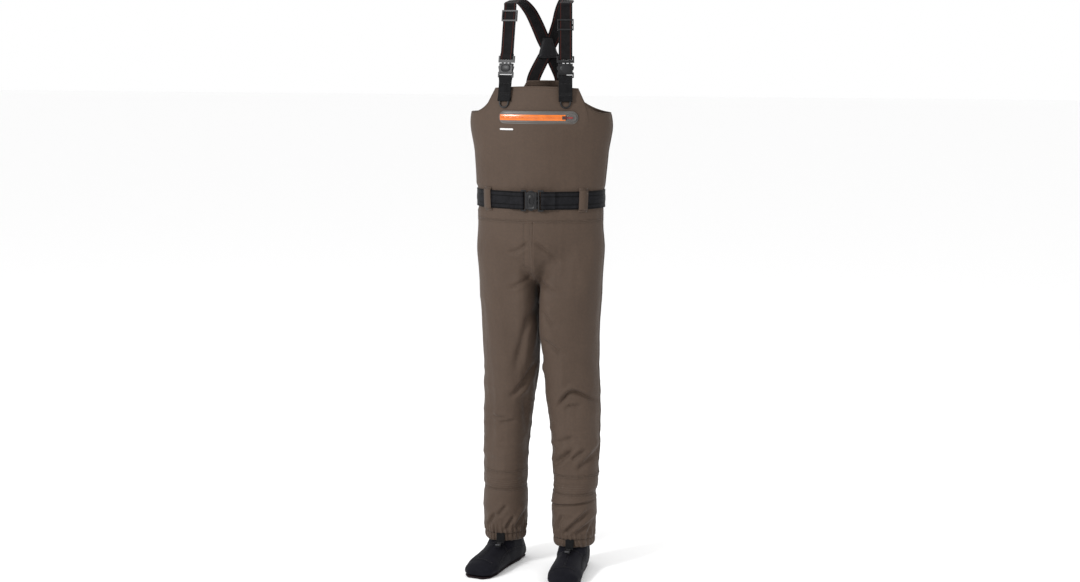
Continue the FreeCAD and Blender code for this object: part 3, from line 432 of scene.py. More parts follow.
def circle_through(points):
    """Centre and radius of the circle through three points."""
    (ax, ay), (bx, by), (cx, cy) = points
    d = 2 * (ax * (by - cy) + bx * (cy - ay) + cx * (ay - by))
    a2, b2, c2 = ax * ax + ay * ay, bx * bx + by * by, cx * cx + cy * cy
    x = (a2 * (by - cy) + b2 * (cy - ay) + c2 * (ay - by)) / d
    y = (a2 * (cx - bx) + b2 * (ax - cx) + c2 * (bx - ax)) / d
    return x, y, math.hypot(ax - x, ay - y)


FRONT_CORNER, BACK_CORNER = (0.124, 1.374), (0.056, 1.390)
FRONT_ARMHOLE = circle_through([FRONT_CORNER, (0.141, 1.330), (0.200, 1.306)])
BACK_ARMHOLE = circle_through([BACK_CORNER, (0.084, 1.352), (0.200, 1.306)])


def top_edge(x, front):
    """Height of the bib's top edge at a distance from its middle line."""
    corner, top, (cx, cz, r) = (
        (FRONT_CORNER, 1.380, FRONT_ARMHOLE) if front else (BACK_CORNER, 1.391, BACK_ARMHOLE))
    if x <= corner[0]:
        return corner[1] + (top - corner[1]) * (1 - (x / corner[0]) ** 2)
    return cz - math.sqrt(max(r * r - (x - cx) ** 2, 0))


TOP_BLEND_Z = 1.20


def top_row(columns):
    """Height of the top edge in each column, found where the edge meets the oval trunk."""
    heights = []
    for u in columns:
        angle = math.pi * (u - 0.5)
        low, high = 1.28, 1.40
        for _ in range(40):
            middle = (low + high) / 2
            x = float(through(TRUNK, np.array([middle]))[0, 0]) * math.cos(angle)
            if middle > top_edge(x, u < 0.5):
                high = middle
            else:
                low = middle
        heights.append(low)
    return np.array(heights)


def garment_grid(rows, columns, side):
    """Points of one half of the garment, rows downwards and columns from the front middle line round the side
    to the back middle line.  Below the crotch each row closes into a leg's ring."""
    u = np.linspace(0, 1, columns)
    level = np.linspace(TOP_BLEND_Z + 0.185, CUFF_Z, rows)
    top = top_row(u)
    share = np.clip((level - TOP_BLEND_Z) / 0.185, 0, 1)
    z = np.where(level[:, None] > TOP_BLEND_Z, TOP_BLEND_Z + share[:, None] * (top[None] - TOP_BLEND_Z),
                 level[:, None])
    u = np.broadcast_to(u[None], z.shape)
    trunk = through(TRUNK, z)
    angle = math.pi * (u - 0.5)
    tx, ty = trunk[..., 0] * np.cos(angle), trunk[..., 1] * np.sin(angle)
    leg = through(LEG, z)
    turn = 2 * math.pi * (u - 0.5)
    stride = STRIDE * np.clip((CROTCH_Z - z) / (CROTCH_Z - CUFF_Z), 0, 1) if side > 0 else 0
    # the inner faces of the thighs lie flat against each other
    flat = 1 - 0.62 * ease(z, 0.590, 0.700)
    swing = np.cos(turn)
    swing = np.where(swing < 0, -np.abs(swing) ** flat, swing)
    lx = leg[..., 0] + leg[..., 2] * swing
    ly = leg[..., 1] + leg[..., 3] * np.sin(turn) - stride
    middle = np.abs(2 * u - 1)
    start = 0.965 - 0.095 * middle**6
    end = 0.80 - 0.006 * middle**6
    weight = ease(-z, -start, -end)
    x = tx + weight * (lx - tx)
    y = ty + weight * (ly - ty)
    outside = bump_at(u, 0.5, 0.22)
    x = x - LEAN[side] * outside * ease(z, 0.42, 0.60) * (1 - ease(z, 0.72, 0.92))
    return np.stack([side * x, y + AXIS_Y, z], axis=-1)


def normals_of(points, side):
    """Outward normals of a grid of points."""
    down = np.gradient(points, axis=0)
    across = np.gradient(points, axis=1)
    normal = np.cross(across, -down) * side
    return normal / np.maximum(np.linalg.norm(normal, axis=-1, keepdims=True), 1e-9)


# ---------------------------------------------------------------- folds in the cloth
def lattice(cells, seed):
    """A repeatable number from 0 to 1 for each integer cell."""
    mix = (cells[..., 0] * 374761393 + cells[..., 1] * 668265263 + cells[..., 2] * 974634777
           + seed * 1274126177)
    mix = np.bitwise_and(mix, 0xFFFFFFFF)
    mix = np.bitwise_and((mix ^ (mix >> 13)) * 1103515245, 0xFFFFFFFF)
    return (mix ^ (mix >> 16)) % 65536 / 65535.0


def value_noise(place, seed):
    """Smooth noise from 0 to 1 over points in space."""
    cell = np.floor(place).astype(np.int64)
    part = place - cell
    part = part * part * part * (part * (6 * part - 15) + 10)
    total = np.zeros(place.shape[:-1])
    for dx in (0, 1):
        for dy in (0, 1):
            for dz in (0, 1):
                corner = lattice(cell + np.array([dx, dy, dz]), seed)
                share = ((part[..., 0] if dx else 1 - part[..., 0])
                         * (part[..., 1] if dy else 1 - part[..., 1])
                         * (part[..., 2] if dz else 1 - part[..., 2]))
                total = total + corner * share
    return total


def wrinkles(points, density, seed, octaves=2):
    """Ridged noise from about -1 to 1; density is how many folds there are in a metre along X, Y and Z."""
    total, weight, scale = 0.0, 0.0, 1.0
    for octave in range(octaves):
        place = points * np.array(density) * scale + 31.7 * (octave + seed)
        ridge = 1 - np.abs(2 * value_noise(place, seed + octave) - 1) * 1.8
        total = total + ridge / scale
        weight += 1 / scale
        scale *= 2.1
    return total / weight


def swell(points, density, seed):
    """Smooth noise from -1 to 1."""
    return 2 * value_noise(points * np.array(density) + 17.3 * seed, seed) - 1


CREASE_SHARE = 1.75


def crease(points, start, end, width, depth, bow=0.0, front=True):
    """A fold along a line in X and Z: a sharp valley with a soft ridge beside it."""
    (ax, az), (bx, bz) = start, end
    length = math.hypot(bx - ax, bz - az)
    ux, uz = (bx - ax) / length, (bz - az) / length
    x, z = points[..., 0] - ax, points[..., 2] - az
    along = (x * ux + z * uz) / length
    off = -x * uz + z * ux - bow * np.sin(math.pi * np.clip(along, 0, 1))
    taper = ease(along, -0.10, 0.22) * (1 - ease(along, 0.72, 1.10))
    face = ease((points[..., 1] - AXIS_Y) * (-1 if front else 1), 0.0, 0.04)
    valley = np.exp(-(off / width) ** 2)
    ridge = np.exp(-((off - 1.9 * width) / (1.5 * width)) ** 2)
    return CREASE_SHARE * depth * (0.40 * ridge - valley) * taper * face


ELASTIC_ROWS = (0.2335, 0.2405, 0.2475, 0.2545)
# start, end, half width, depth and bow of each fold that lies across the front
FRONT_CREASES = [
    ((-0.012, 0.950), (-0.074, 0.916), 0.0056, 0.0034, 0.006),
    ((0.006, 0.950), (0.070, 0.892), 0.0056, 0.0032, 0.003),
    ((-0.012, 0.853), (-0.070, 0.816), 0.0056, 0.0040, 0.003),
    ((0.010, 0.832), (0.066, 0.800), 0.0070, 0.0030, 0.002),
    ((0.022, 0.752), (0.060, 0.706), 0.0070, 0.0038, 0.000),
    ((0.020, 0.668), (0.080, 0.628), 0.0080, 0.0042, 0.003),
    ((-0.003, 0.762), (-0.058, 0.580), 0.0110, 0.0060, -0.004),
    ((0.012, 0.614), (-0.075, 0.500), 0.0070, 0.0070, 0.006),
    ((0.060, 0.478), (0.168, 0.488), 0.0060, 0.0065, 0.040),
    ((0.086, 0.476), (0.132, 0.480), 0.0055, 0.0035, 0.004),
    ((-0.126, 0.441), (-0.084, 0.437), 0.0045, 0.0030, 0.000),
    ((-0.106, 0.424), (-0.064, 0.431), 0.0045, 0.0030, 0.000),
    ((0.050, 0.306), (0.114, 0.356), 0.0075, 0.0060, 0.003),
    ((0.106, 0.326), (0.146, 0.358), 0.0065, 0.0045, 0.000),
    ((0.122, 0.294), (0.182, 0.374), 0.0075, 0.0048, -0.003),
    ((0.056, 0.372), (0.112, 0.392), 0.0070, 0.0028, 0.000),
    ((-0.040, 0.500), (-0.024, 0.360), 0.0120, 0.0035, 0.000),
]
BACK_CREASES = [
    ((0.006, 0.900), (0.080, 0.842), 0.0060, 0.0055, 0.004),
    ((-0.006, 0.896), (-0.084, 0.846), 0.0060, 0.0055, 0.004),
    ((0.012, 0.846), (0.078, 0.806), 0.0070, 0.0050, 0.002),
    ((-0.012, 0.842), (-0.076, 0.800), 0.0070, 0.0050, 0.002),
    ((0.040, 0.520), (0.150, 0.540), 0.0080, 0.0060, 0.010),
    ((0.044, 0.492), (0.148, 0.486), 0.0070, 0.0055, -0.006),
    ((-0.044, 0.524), (-0.152, 0.536), 0.0080, 0.0060, 0.008),
    ((-0.046, 0.488), (-0.146, 0.494), 0.0070, 0.0050, -0.006),
    ((0.060, 0.330), (0.150, 0.352), 0.0070, 0.0040, 0.004),
    ((-0.062, 0.346), (-0.152, 0.326), 0.0070, 0.0040, 0.004),
]


def folds(points, below_top):
    """How far each point of the cloth stands out from the plain form."""
    x, y, z = points[..., 0], points[..., 1] - AXIS_Y, points[..., 2]
    depth = 0.0030 * swell(points, (5, 5, 3.2), 3)
    trousers = 1 - ease(z, 0.90, 1.00)
    depth = depth + 0.0070 * swell(points, (16, 10, 2.0), 11) * trousers
    depth = depth + 0.0010 * wrinkles(points, (15, 9, 2.0), 12) * trousers
    depth = depth + 0.0012 * wrinkles(points, (26, 20, 3.2), 15) * (0.45 + 0.85 * trousers)
    depth = depth + 0.0034 * wrinkles(points, (12, 12, 24), 31) * (1 - ease(z, 0.36, 0.50))
    depth = depth + 0.0036 * wrinkles(points, (10, 10, 15), 41) * bump_at(z, 0.520, 0.095)
    depth = depth + 0.0013 * wrinkles(points, (30, 20, 11), 44) * trousers
    gather = bump_at(z, BELT_Z, 0.055) * (1 - bump_at(z, BELT_Z, 0.020))
    depth = depth + 0.0022 * wrinkles(points, (46, 34, 5), 21) * gather
    drag = np.arctan2(z - 0.862, np.abs(x) + 0.004)
    reach = np.hypot(z - 0.862, x)
    depth = depth + 0.0008 * np.sin(drag * 9 + 6 * x) * np.exp(-((reach - 0.055) / 0.050) ** 2)
    for entry in FRONT_CREASES:
        depth = depth + crease(points, *entry)
    for entry in BACK_CREASES:
        depth = depth + crease(points, *entry, front=False)
    seam = bump_at(x, -0.007, 0.0040) * ease(z, 0.83, 0.86) * (1 - ease(z, 0.996, 1.006))
    depth = depth - 0.0009 * seam
    for height in ELASTIC_ROWS:
        depth = depth - 0.0015 * bump_at(z, height, 0.0024) * ease(-y, 0.0, 0.03)
    # calm at the hemmed top edge, under the belt, under the pocket and under the shoulder tabs
    calm = ease(below_top, 0.004, 0.050)
    depth = depth * (0.15 + 0.85 * calm)
    under_belt = 1 - ease(np.abs(z - BELT_Z), 0.026, 0.040)
    depth = depth * (1 - under_belt) - 0.0004 * under_belt
    across = 1 - ease(np.abs(x - 0.0105), 0.112, 0.135)
    pocket = across * (1 - ease(np.abs(z - 1.295), 0.019, 0.036)) * (y < 0)
    depth = depth * (1 - pocket) - 0.0006 * pocket
    label = (1 - ease(np.abs(x + 0.078), 0.024, 0.040)) * (1 - ease(np.abs(z - 1.262), 0.006,
                                                                    0.016)) * (y < 0)
    depth = depth * (1 - label) - 0.0006 * label
    tab = (1 - ease(np.abs(np.abs(x) - 0.089), 0.022, 0.034)) * ease(z, 1.325, 1.342) * (y < 0)
    depth = depth * (1 - tab) - 0.0006 * tab
    # no outward folds where the two legs face each other, or inside the gravel guards
    inner = (1 - ease(np.abs(x), 0.010, 0.030)) * (1 - ease(z, 0.80, 0.85)) * ease(z, 0.56, 0.62)
    depth = np.where(depth > 0, depth * (1 - inner), depth)
    cuff = 1 - ease(z, 0.222, 0.250)
    depth = depth * (1 - cuff) - 0.0008 * cuff
    return depth


# ---------------------------------------------------------------- meshes from grids of points
def grid_mesh(name, grid, flip=False, closed=False):
    """A quad mesh over a grid of points, with UVs in metres along its rows and columns."""
    rows, columns = grid.shape[:2]
    across = np.concatenate([np.zeros((rows, 1)), np.cumsum(
        np.linalg.norm(np.diff(grid, axis=1), axis=-1), axis=1)], axis=1)
    across = across - across[:, columns // 2][:, None]
    along = np.concatenate([np.zeros((1, columns)), np.cumsum(
        np.linalg.norm(np.diff(grid, axis=0), axis=-1), axis=0)], axis=0)
    spans = columns if closed else columns - 1
    i, j = np.meshgrid(np.arange(rows - 1), np.arange(spans), indexing="ij")
    k = (j + 1) % columns
    quads = np.stack([i * columns + j, (i + 1) * columns + j, (i + 1) * columns + k, i * columns + k],
                     axis=-1)
    if flip:
        quads = quads[..., ::-1]
    quads = quads.reshape(-1, 4)
    mesh = bpy.data.meshes.new(name)
    mesh.from_pydata(grid.reshape(-1, 3).tolist(), [], quads.tolist())
    layer = mesh.uv_layers.new(name="length")
    place = np.stack([across, along], axis=-1).reshape(-1, 2)[quads.reshape(-1)]
    layer.data.foreach_set("uv", place.reshape(-1).astype(np.float32))
    mesh.polygons.foreach_set("use_smooth", [True] * len(mesh.polygons))
    mesh.update()
    return mesh


def piece(name, mesh, material, body, nodes=()):
    """An object that rides on a body, takes a finish and may stand for CAD nodes."""
    obj = bpy.data.objects.new(name, mesh)
    bpy.context.scene.collection.objects.link(obj)
    mesh.materials.append(material)
    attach(obj, body)
    if nodes:
        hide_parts(*nodes)
    return obj


def thicken(obj, thickness):
    """Give a sheet its thickness, inwards from the outer face."""
    solid = obj.modifiers.new("thickness", "SOLIDIFY")
    solid.thickness = thickness
    solid.offset = -1
    solid.use_even_offset = False
    solid.use_quality_normals = False


def relaxed(points, share, rounds):
    """Points drawn towards the middle of their neighbours, as far as share says."""
    for _ in range(rounds):
        middle = points.copy()
        middle[1:-1, 1:-1] = (points[:-2, 1:-1] + points[2:, 1:-1] + points[1:-1, :-2] + points[1:-1, 2:]) / 4
        for end in (0, -1):
            middle[1:-1, end] = (points[:-2, end] + points[2:, end]) / 2
        points = points + (middle - points) * share[..., None]
    return points


ROWS, COLUMNS = 380, 141
CLOTH = 0.0010
garment = {}
plain_form = {}
for name, side in SIDES.items():
    form = garment_grid(ROWS, COLUMNS, side)
    near_end = ease(np.abs(np.linspace(-1, 1, COLUMNS)), 0.40, 0.80)[None]
    height = form[..., 2]
    form = relaxed(form, 0.9 * near_end * ease(height, 0.778, 0.815) * (1 - ease(height, 0.93, 0.985)), 70)
    normal = normals_of(form, side)
    drop = form[0:1, :, 2] - form[..., 2]
    plain_form[name] = form
    garment[name] = form + normal * folds(form, drop)[..., None]
for end in (0, -1):
    # the two halves share their middle line above the crotch, and each leg closes on itself below it
    shared = (garment["left"][:, end] + garment["right"][:, end]) / 2
    above = ease(plain_form["left"][:, end, 2], 0.835, 0.860)[:, None]
    for name in SIDES:
        garment[name][:, end] = garment[name][:, end] * (1 - above) + shared * above
HEIGHTS = plain_form["left"][:, COLUMNS // 4, 2]
for name in SIDES:
    closing = (garment[name][:, 0] + garment[name][:, -1]) / 2
    for end in (0, -1):
        apart = ease(HEIGHTS, 0.768, 0.790)[:, None]
        joined = (garment["left"][:, end] + garment["right"][:, end]) / 2 * np.array([0, 1, 1])
        garment[name][:, end] = closing * (1 - apart) + joined * apart


def row_at(height):
    """The grid row nearest to a height."""
    return int(np.argmin(np.abs(HEIGHTS - height)))


MIDDLE = COLUMNS // 2
WAIST, SHIN = row_at(WAIST_Z), row_at(SHIN_SEAM_Z)
front = np.concatenate([garment["right"][:, MIDDLE:0:-1], garment["left"][:, :MIDDLE + 1]], axis=1)
back = np.concatenate([garment["left"][:, MIDDLE:], garment["right"][:, -2:MIDDLE - 1:-1]], axis=1)


def cloth_piece(name, grid, flip=False, closed=False, body="garment", thickness=CLOTH, nodes=None):
    """A panel of the face fabric that stands for the CAD node of the same name."""
    obj = piece(name, grid_mesh(name, grid, flip, closed), LAMINATE, body, nodes or (name,))
    thicken(obj, thickness)
    return obj


def spans(grid):
    """The width and length of a grid of points, along its widest row and its longest column."""
    width = np.linalg.norm(np.diff(grid, axis=1), axis=-1).sum(axis=1).max()
    length = np.linalg.norm(np.diff(grid, axis=0), axis=-1).sum(axis=0).max()
    return float(width), float(length)


def area_of(grid):
    """The area of a grid's quads."""
    first, second = grid[1:, 1:] - grid[:-1, :-1], grid[1:, :-1] - grid[:-1, 1:]
    return float(np.linalg.norm(np.cross(first, second), axis=-1).sum() / 2)


# The flat area is this share of the grid's own area: a chosen value, from no measurement or source.
FLAT_SHARE = 0.985


def declare(grid):
    """Work out the width, length and area that a panel's grid unrolls to; the values are not kept."""
    width, length = spans(grid)
    area = min(area_of(grid) * FLAT_SHARE, width * length)


cloth_piece("front_bib_panel_cloth", front[:WAIST + 1], nodes=("front_bib_panel",))
cloth_piece("back_bib_panel_cloth", back[:WAIST + 1], nodes=("back_bib_panel",))
panels = [("front_bib_panel_cloth", front[:WAIST + 1]), ("back_bib_panel_cloth", back[:WAIST + 1])]
for name, side in SIDES.items():
    flip = side < 0
    cuts = {
        "front_leg_panel": garment[name][WAIST:SHIN + 1, :MIDDLE + 1],
        "back_leg_panel": garment[name][WAIST:SHIN + 1, MIDDLE:],
        "shin_panel": garment[name][SHIN:],
    }
    for part, grid in cuts.items():
        cloth_piece(f"{name}_{part}_cloth", grid, flip, nodes=(f"{name}_{part}",))
        panels.append((f"{name}_{part}_cloth", grid))


# ---------------------------------------------------------------- lines, seams and stitches
def smooth_line(points, count, closed=False):
    """A Catmull-Rom curve through points, as evenly spaced points."""
    points = np.asarray(points, float)
    if closed:
        whole = np.concatenate([points[-1:], points, points[:2]])
    else:
        whole = np.concatenate([2 * points[:1] - points[1:2], points, 2 * points[-1:] - points[-2:-1]])
    dense = []
    steps = 24
    for k in range(1, len(whole) - 2):
        p0, p1, p2, p3 = whole[k - 1:k + 3]
        t = (np.arange(steps) / steps)[:, None]
        dense.append(0.5 * (2 * p1 + (p2 - p0) * t + (2 * p0 - 5 * p1 + 4 * p2 - p3) * t * t
                            + (3 * p1 - p0 - 3 * p2 + p3) * t**3))
    dense.append(whole[-2:-1])
    return evenly(np.concatenate(dense), count)


def evenly(points, count):
    """The same line as evenly spaced points."""
    points = np.asarray(points, float)
    gone = np.concatenate([[0], np.cumsum(np.linalg.norm(np.diff(points, axis=0), axis=1))])
    want = np.linspace(0, gone[-1], count)
    return np.stack([np.interp(want, gone, points[:, k]) for k in range(points.shape[1])], axis=1)


def unit(vectors):
    """Vectors scaled to length 1."""
    return vectors / np.maximum(np.linalg.norm(vectors, axis=-1, keepdims=True), 1e-12)


def swept(name, line, widths, profile, closed=False, loop=True):
    """A strip swept along a line.

    profile holds (across, out) points; widths is each point's across direction.
    """
    line, widths = np.asarray(line, float), np.asarray(widths, float)
    ahead = np.gradient(line, axis=0)
    if closed:
        ahead = np.roll(line, -1, axis=0) - np.roll(line, 1, axis=0)
    ahead = unit(ahead)
    wide = unit(widths - ahead * (widths * ahead).sum(axis=1, keepdims=True))
    out = np.cross(wide, ahead)
    profile = np.asarray(profile, float)
    grid = (line[:, None] + wide[:, None] * profile[None, :, :1] + out[:, None] * profile[None, :, 1:2])
    count, around = grid.shape[:2]
    quads = []
    for i in range(count if closed else count - 1):
        n = (i + 1) % count
        for j in range(around if loop else around - 1):
            k = (j + 1) % around
            quads.append((i * around + j, i * around + k, n * around + k, n * around + j))
    if loop and not closed:
        quads.append(tuple(range(around))[::-1])
        quads.append(tuple((count - 1) * around + j for j in range(around)))
    mesh = bpy.data.meshes.new(name)
    mesh.from_pydata(grid.reshape(-1, 3).tolist(), [], quads)
    gone = np.concatenate([[0], np.cumsum(np.linalg.norm(np.diff(line, axis=0), axis=1))])
    gone = np.append(gone, gone[-1] + np.linalg.norm(line[0] - line[-1]))
    layer = mesh.uv_layers.new(name="length")
    for polygon in mesh.polygons:
        wraps = closed and polygon.index >= (count - 1) * (around if loop else around - 1)
        for corner in polygon.loop_indices:
            vertex = mesh.loops[corner].vertex_index
            i, j = divmod(vertex, around)
            layer.data[corner].uv = (profile[j, 0], gone[count] if wraps and i == 0 else gone[i])
        polygon.use_smooth = len(polygon.vertices) == 4
    return mesh


def webbing_profile(width, thickness, ribs=0, rib_rise=0.0, band=None, edge=0.0):
    """A strap's closed section: rounded edges, lengthwise ribs and a raised band on its outer face."""
    half, t = width / 2, thickness / 2
    count = max(ribs * 6, 10)
    upper = []
    for k in range(count + 1):
        x = -half + t + (width - 2 * t) * k / count
        rise = rib_rise * (0.5 + 0.5 * math.cos(2 * math.pi * ribs * k / count)) if ribs else 0.0
        if band:
            half_band, lift = band
            rise += lift * (1 - float(ease(abs(x), half_band - 0.0012, half_band)))
        rise += edge * float(ease(abs(x), half - 0.0045, half - 0.0030))
        upper.append((x, t + rise))
    low = [(half - t, -t), (half - t - 0.004, -t * 0.98), (0.0, -t * 0.96),
           (-half + t + 0.004, -t * 0.98), (-half + t, -t)]
    right = [(half - t + t * math.sin(a), t * math.cos(a)) for a in (math.pi * 0.3, math.pi * 0.5,
                                                                     math.pi * 0.7)]
    left = [(-half + t - t * math.sin(a), -t * math.cos(a)) for a in (math.pi * 0.3, math.pi * 0.5,
                                                                      math.pi * 0.7)]
    return upper + right + low + left


def stitches(name, rows, material, body, pitch=0.0034, length=0.0023, radius=0.00028, lift=0.0002):
    """Rows of thread dashes: each row is a line of points with its outward normals."""
    verts, faces = [], []
    for line, normals in rows:
        gone = np.concatenate([[0], np.cumsum(np.linalg.norm(np.diff(line, axis=0), axis=1))])
        count = max(int(gone[-1] / pitch), 1)
        middles = (np.arange(count) + 0.5) * gone[-1] / count
        at = np.stack([np.interp(middles, gone, line[:, k]) for k in range(3)], axis=1)
        end = np.stack([np.interp(middles + pitch * 0.4, gone, line[:, k]) for k in range(3)], axis=1)
        out = unit(np.stack([np.interp(middles, gone, normals[:, k]) for k in range(3)], axis=1))
        ahead = unit(end - at)
        ahead[np.linalg.norm(end - at, axis=1) < 1e-9] = ahead[0]
        wide = unit(np.cross(ahead, out))
        at = at + out * lift
        base = len(verts)
        rings = [at - ahead * length / 2 - out * radius]
        for place in (-0.34, 0.34):
            for dw, do in ((1, 0), (0, 1), (-1, 0), (0, -1)):
                rings.append(at + ahead * (length * place) + wide * (dw * radius) + out * (do * radius))
        rings.append(at + ahead * length / 2 - out * radius)
        verts.extend(np.stack(rings, axis=1).reshape(-1, 3).tolist())
        for k in range(count):
            o = base + 10 * k
            for j in range(4):
                n = (j + 1) % 4
                faces.append((o, o + 1 + n, o + 1 + j))
                faces.append((o + 1 + j, o + 1 + n, o + 5 + n, o + 5 + j))
                faces.append((o + 5 + j, o + 5 + n, o + 9))
    mesh = bpy.data.meshes.new(name)
    mesh.from_pydata(verts, [], faces)
    mesh.polygons.foreach_set("use_smooth", [True] * len(mesh.polygons))
    return piece(name, mesh, material, body)


def beside(line, normals, offset):
    """A line moved sideways over the surface."""
    ahead = unit(np.gradient(line, axis=0))
    return line + np.cross(ahead, normals) * offset


SEAM_PROFILE = [(-0.0045, -0.0004), (-0.0036, 0.0005), (-0.0005, 0.0008), (0.0, 0.0001), (0.0005, 0.0007),
                (0.0036, 0.0004), (0.0045, -0.0004)]
seam_rows = []


def seam(name, line, normals, closed=False, rows=(-0.0026, 0.0026), rise=1.0):
    """A lapped seam: a low welt along a line with a row of stitches on each side."""
    line, normals = np.asarray(line), np.asarray(normals)
    wide = np.cross(unit(np.gradient(line, axis=0)), normals)
    if closed:
        wide = np.cross(unit(np.roll(line, -1, axis=0) - np.roll(line, 1, axis=0)), normals)
    profile = [(across, out * rise if out > 0 else out) for across, out in SEAM_PROFILE]
    mesh = swept(name, line, -wide, profile, closed=closed, loop=False)
    obj = piece(name, mesh, LAMINATE, "garment")
    if closed:
        line = np.concatenate([line, line[:1]])
        normals = np.concatenate([normals, normals[:1]])
    for offset in rows:
        seam_rows.append((beside(line, normals, offset) + normals * 0.0006, normals))
    return obj


normals = {name: normals_of(garment[name], side) for name, side in SIDES.items()}
front_normals = np.concatenate([normals["right"][:, MIDDLE:0:-1], normals["left"][:, :MIDDLE + 1]], axis=1)
back_normals = np.concatenate([normals["left"][:, MIDDLE:], normals["right"][:, -2:MIDDLE - 1:-1]], axis=1)
for grid_normals in (front_normals, back_normals):
    grid_normals[:, MIDDLE] = unit(grid_normals[:, MIDDLE - 1] + grid_normals[:, MIDDLE + 1])
around = np.concatenate([front[WAIST], back[WAIST, 1:-1]])
around_normals = np.concatenate([front_normals[WAIST], back_normals[WAIST, 1:-1]])
seam("waist_seam", around, around_normals, closed=True, rise=0.7)
rise_end = row_at(0.800)


def line_across(grid, grid_normals, low, high, x):
    """The line on a grid where it crosses one distance from the middle plane, from row low to row high."""
    points, out = [], []
    for i in range(low, high):
        order = np.argsort(grid[i, :, 0])
        at = grid[i, order, 0]
        points.append([np.interp(x, at, grid[i, order, k]) for k in range(3)])
        out.append([np.interp(x, at, grid_normals[i, order, k]) for k in range(3)])
    return np.array(points), unit(np.array(out))


FLY_X = (-0.0075, -0.0270)
fly_end = row_at(0.848)
line, out = line_across(front, front_normals, WAIST + 1, fly_end, FLY_X[0])
seam("front_rise_seam", line, out)
line, out = line_across(front, front_normals, WAIST + 1, row_at(0.870), FLY_X[1])
for offset in (-0.0009, 0.0009):
    seam_rows.append((beside(line, out, offset) + out * 0.0003, out))
seam("back_rise_seam", back[WAIST + 1:rise_end, MIDDLE], back_normals[WAIST + 1:rise_end, MIDDLE],
     rows=(-0.0046, 0.0046))
for name, side in SIDES.items():
    grid, out = garment[name], normals[name]
    seam(f"{name}_side_seam", grid[2:SHIN, MIDDLE], out[2:SHIN, MIDDLE])
    low = row_at(0.760)
    seam(f"{name}_inseam", grid[low:SHIN, 0], unit(out[low:SHIN, 1] + out[low:SHIN, -2]))
    seam(f"{name}_shin_seam", grid[SHIN, :-1], out[SHIN, :-1], closed=True, rise=0.35)


# ---------------------------------------------------------------- gravel guards and their gathered hems
GUARD_STAND_OFF = 0.0025
GUARD_FULLNESS = 0.0018
HEM_HALF = (0.058, 0.066)


def leg_ring(height, side):
    """Centre and half sizes of a leg's plain oval at a height."""
    x, y, half_x, half_y = through(LEG, np.array([height]))[0]
    stride = STRIDE * np.clip((CROTCH_Z - height) / (CROTCH_Z - CUFF_Z), 0, 1) if side > 0 else 0
    return side * x, y - stride + AXIS_Y, half_x, half_y


GUARD_CREASES = {
    "left": [((0.036, 0.192), (0.172, 0.208), 0.0026, 0.0062, 0.0),
             ((0.088, 0.116), (0.156, 0.184), 0.005, 0.0060, 0.0),
             ((0.116, 0.112), (0.178, 0.162), 0.005, 0.0050, 0.0),
             ((0.062, 0.122), (0.082, 0.172), 0.005, 0.0030, 0.0),
             ((0.150, 0.108), (0.166, 0.150), 0.004, 0.0035, 0.0)],
    "right": [((-0.064, 0.114), (-0.030, 0.174), 0.005, 0.0060, 0.0),
              ((-0.092, 0.108), (-0.068, 0.150), 0.004, 0.0035, 0.0),
              ((-0.142, 0.118), (-0.120, 0.158), 0.005, 0.0035, 0.0),
              ((-0.112, 0.150), (-0.086, 0.182), 0.006, 0.0028, 0.0)],
}


def pleats(t, z, side):
    """Gathers round a leg from -1 to 1, uneven in width and fading into each other with height."""
    ring = np.stack([np.cos(t), np.sin(t), np.zeros_like(t)], axis=-1)
    uneven = swell(ring, (2.2, 2.2, 1), 83 + side)
    return np.cos(29 * t + 3.4 * uneven + 30 * (z - HEM_TOP_Z)) * (0.55 + 0.45 * swell(ring, (4, 4, 1),
                                                                                       85 + side))


def guard_grid(name, side, rows=60, columns=200):
    """The guard's skirt, from its top seam down to its hem, fuller in the middle and gathered below."""
    t = np.linspace(0, 2 * math.pi, columns, endpoint=False)
    levels = np.linspace(GUARD_TOP_Z + 0.001, HEM_TOP_Z + 0.0005, rows)
    grid = np.zeros((rows, columns, 3))
    cuff = leg_ring(CUFF_Z, side)
    for i, z in enumerate(levels):
        x, y, half_x, half_y = leg_ring(max(z, CUFF_Z), side)
        low = float(np.clip((CUFF_Z - z) / (CUFF_Z - HEM_TOP_Z), 0, 1))
        room = GUARD_STAND_OFF * float(ease(GUARD_TOP_Z - z, -0.002, 0.012)) + 0.0003
        full = GUARD_FULLNESS * math.sin(math.pi * float(np.clip((GUARD_TOP_Z - z) / 0.125, 0, 1))) ** 1.5
        half_x = (half_x + room) * (1 - low) + (HEM_HALF[0] + 0.0008) * low + full
        half_y = (half_y + room) * (1 - low) + (HEM_HALF[1] + 0.0008) * low + full
        y = y * (1 - low) + (cuff[1] - 0.001) * low
        grid[i] = np.stack([x + half_x * np.cos(t), y + half_y * np.sin(t), np.full(columns, z)], axis=1)
    normal = np.stack([np.cos(t), np.sin(t), np.zeros(columns)], axis=1)[None] * np.ones((rows, 1, 1))
    z = grid[..., 2]
    slant = grid.copy()
    slant[..., 0] += 0.45 * (z - HEM_TOP_Z)
    near_hem = 1 - ease(z, 0.112, 0.168)
    depth = 0.0026 * wrinkles(slant, (40, 40, 6), 53) * near_hem
    depth = depth + 0.0030 * pleats(t, z, side) * (1 - ease(z, 0.104, 0.142))
    depth = depth + 0.0020 * wrinkles(slant, (14, 14, 24), 59) * bump_at(z, 0.165, 0.035)
    for entry in GUARD_CREASES[name]:
        depth = depth + crease(grid, *entry)
    depth = depth * ease(GUARD_TOP_Z - z, 0.002, 0.020)
    depth = np.maximum(depth, -0.004 - 0.5 * full_room(z))
    return grid + normal * depth[..., None]


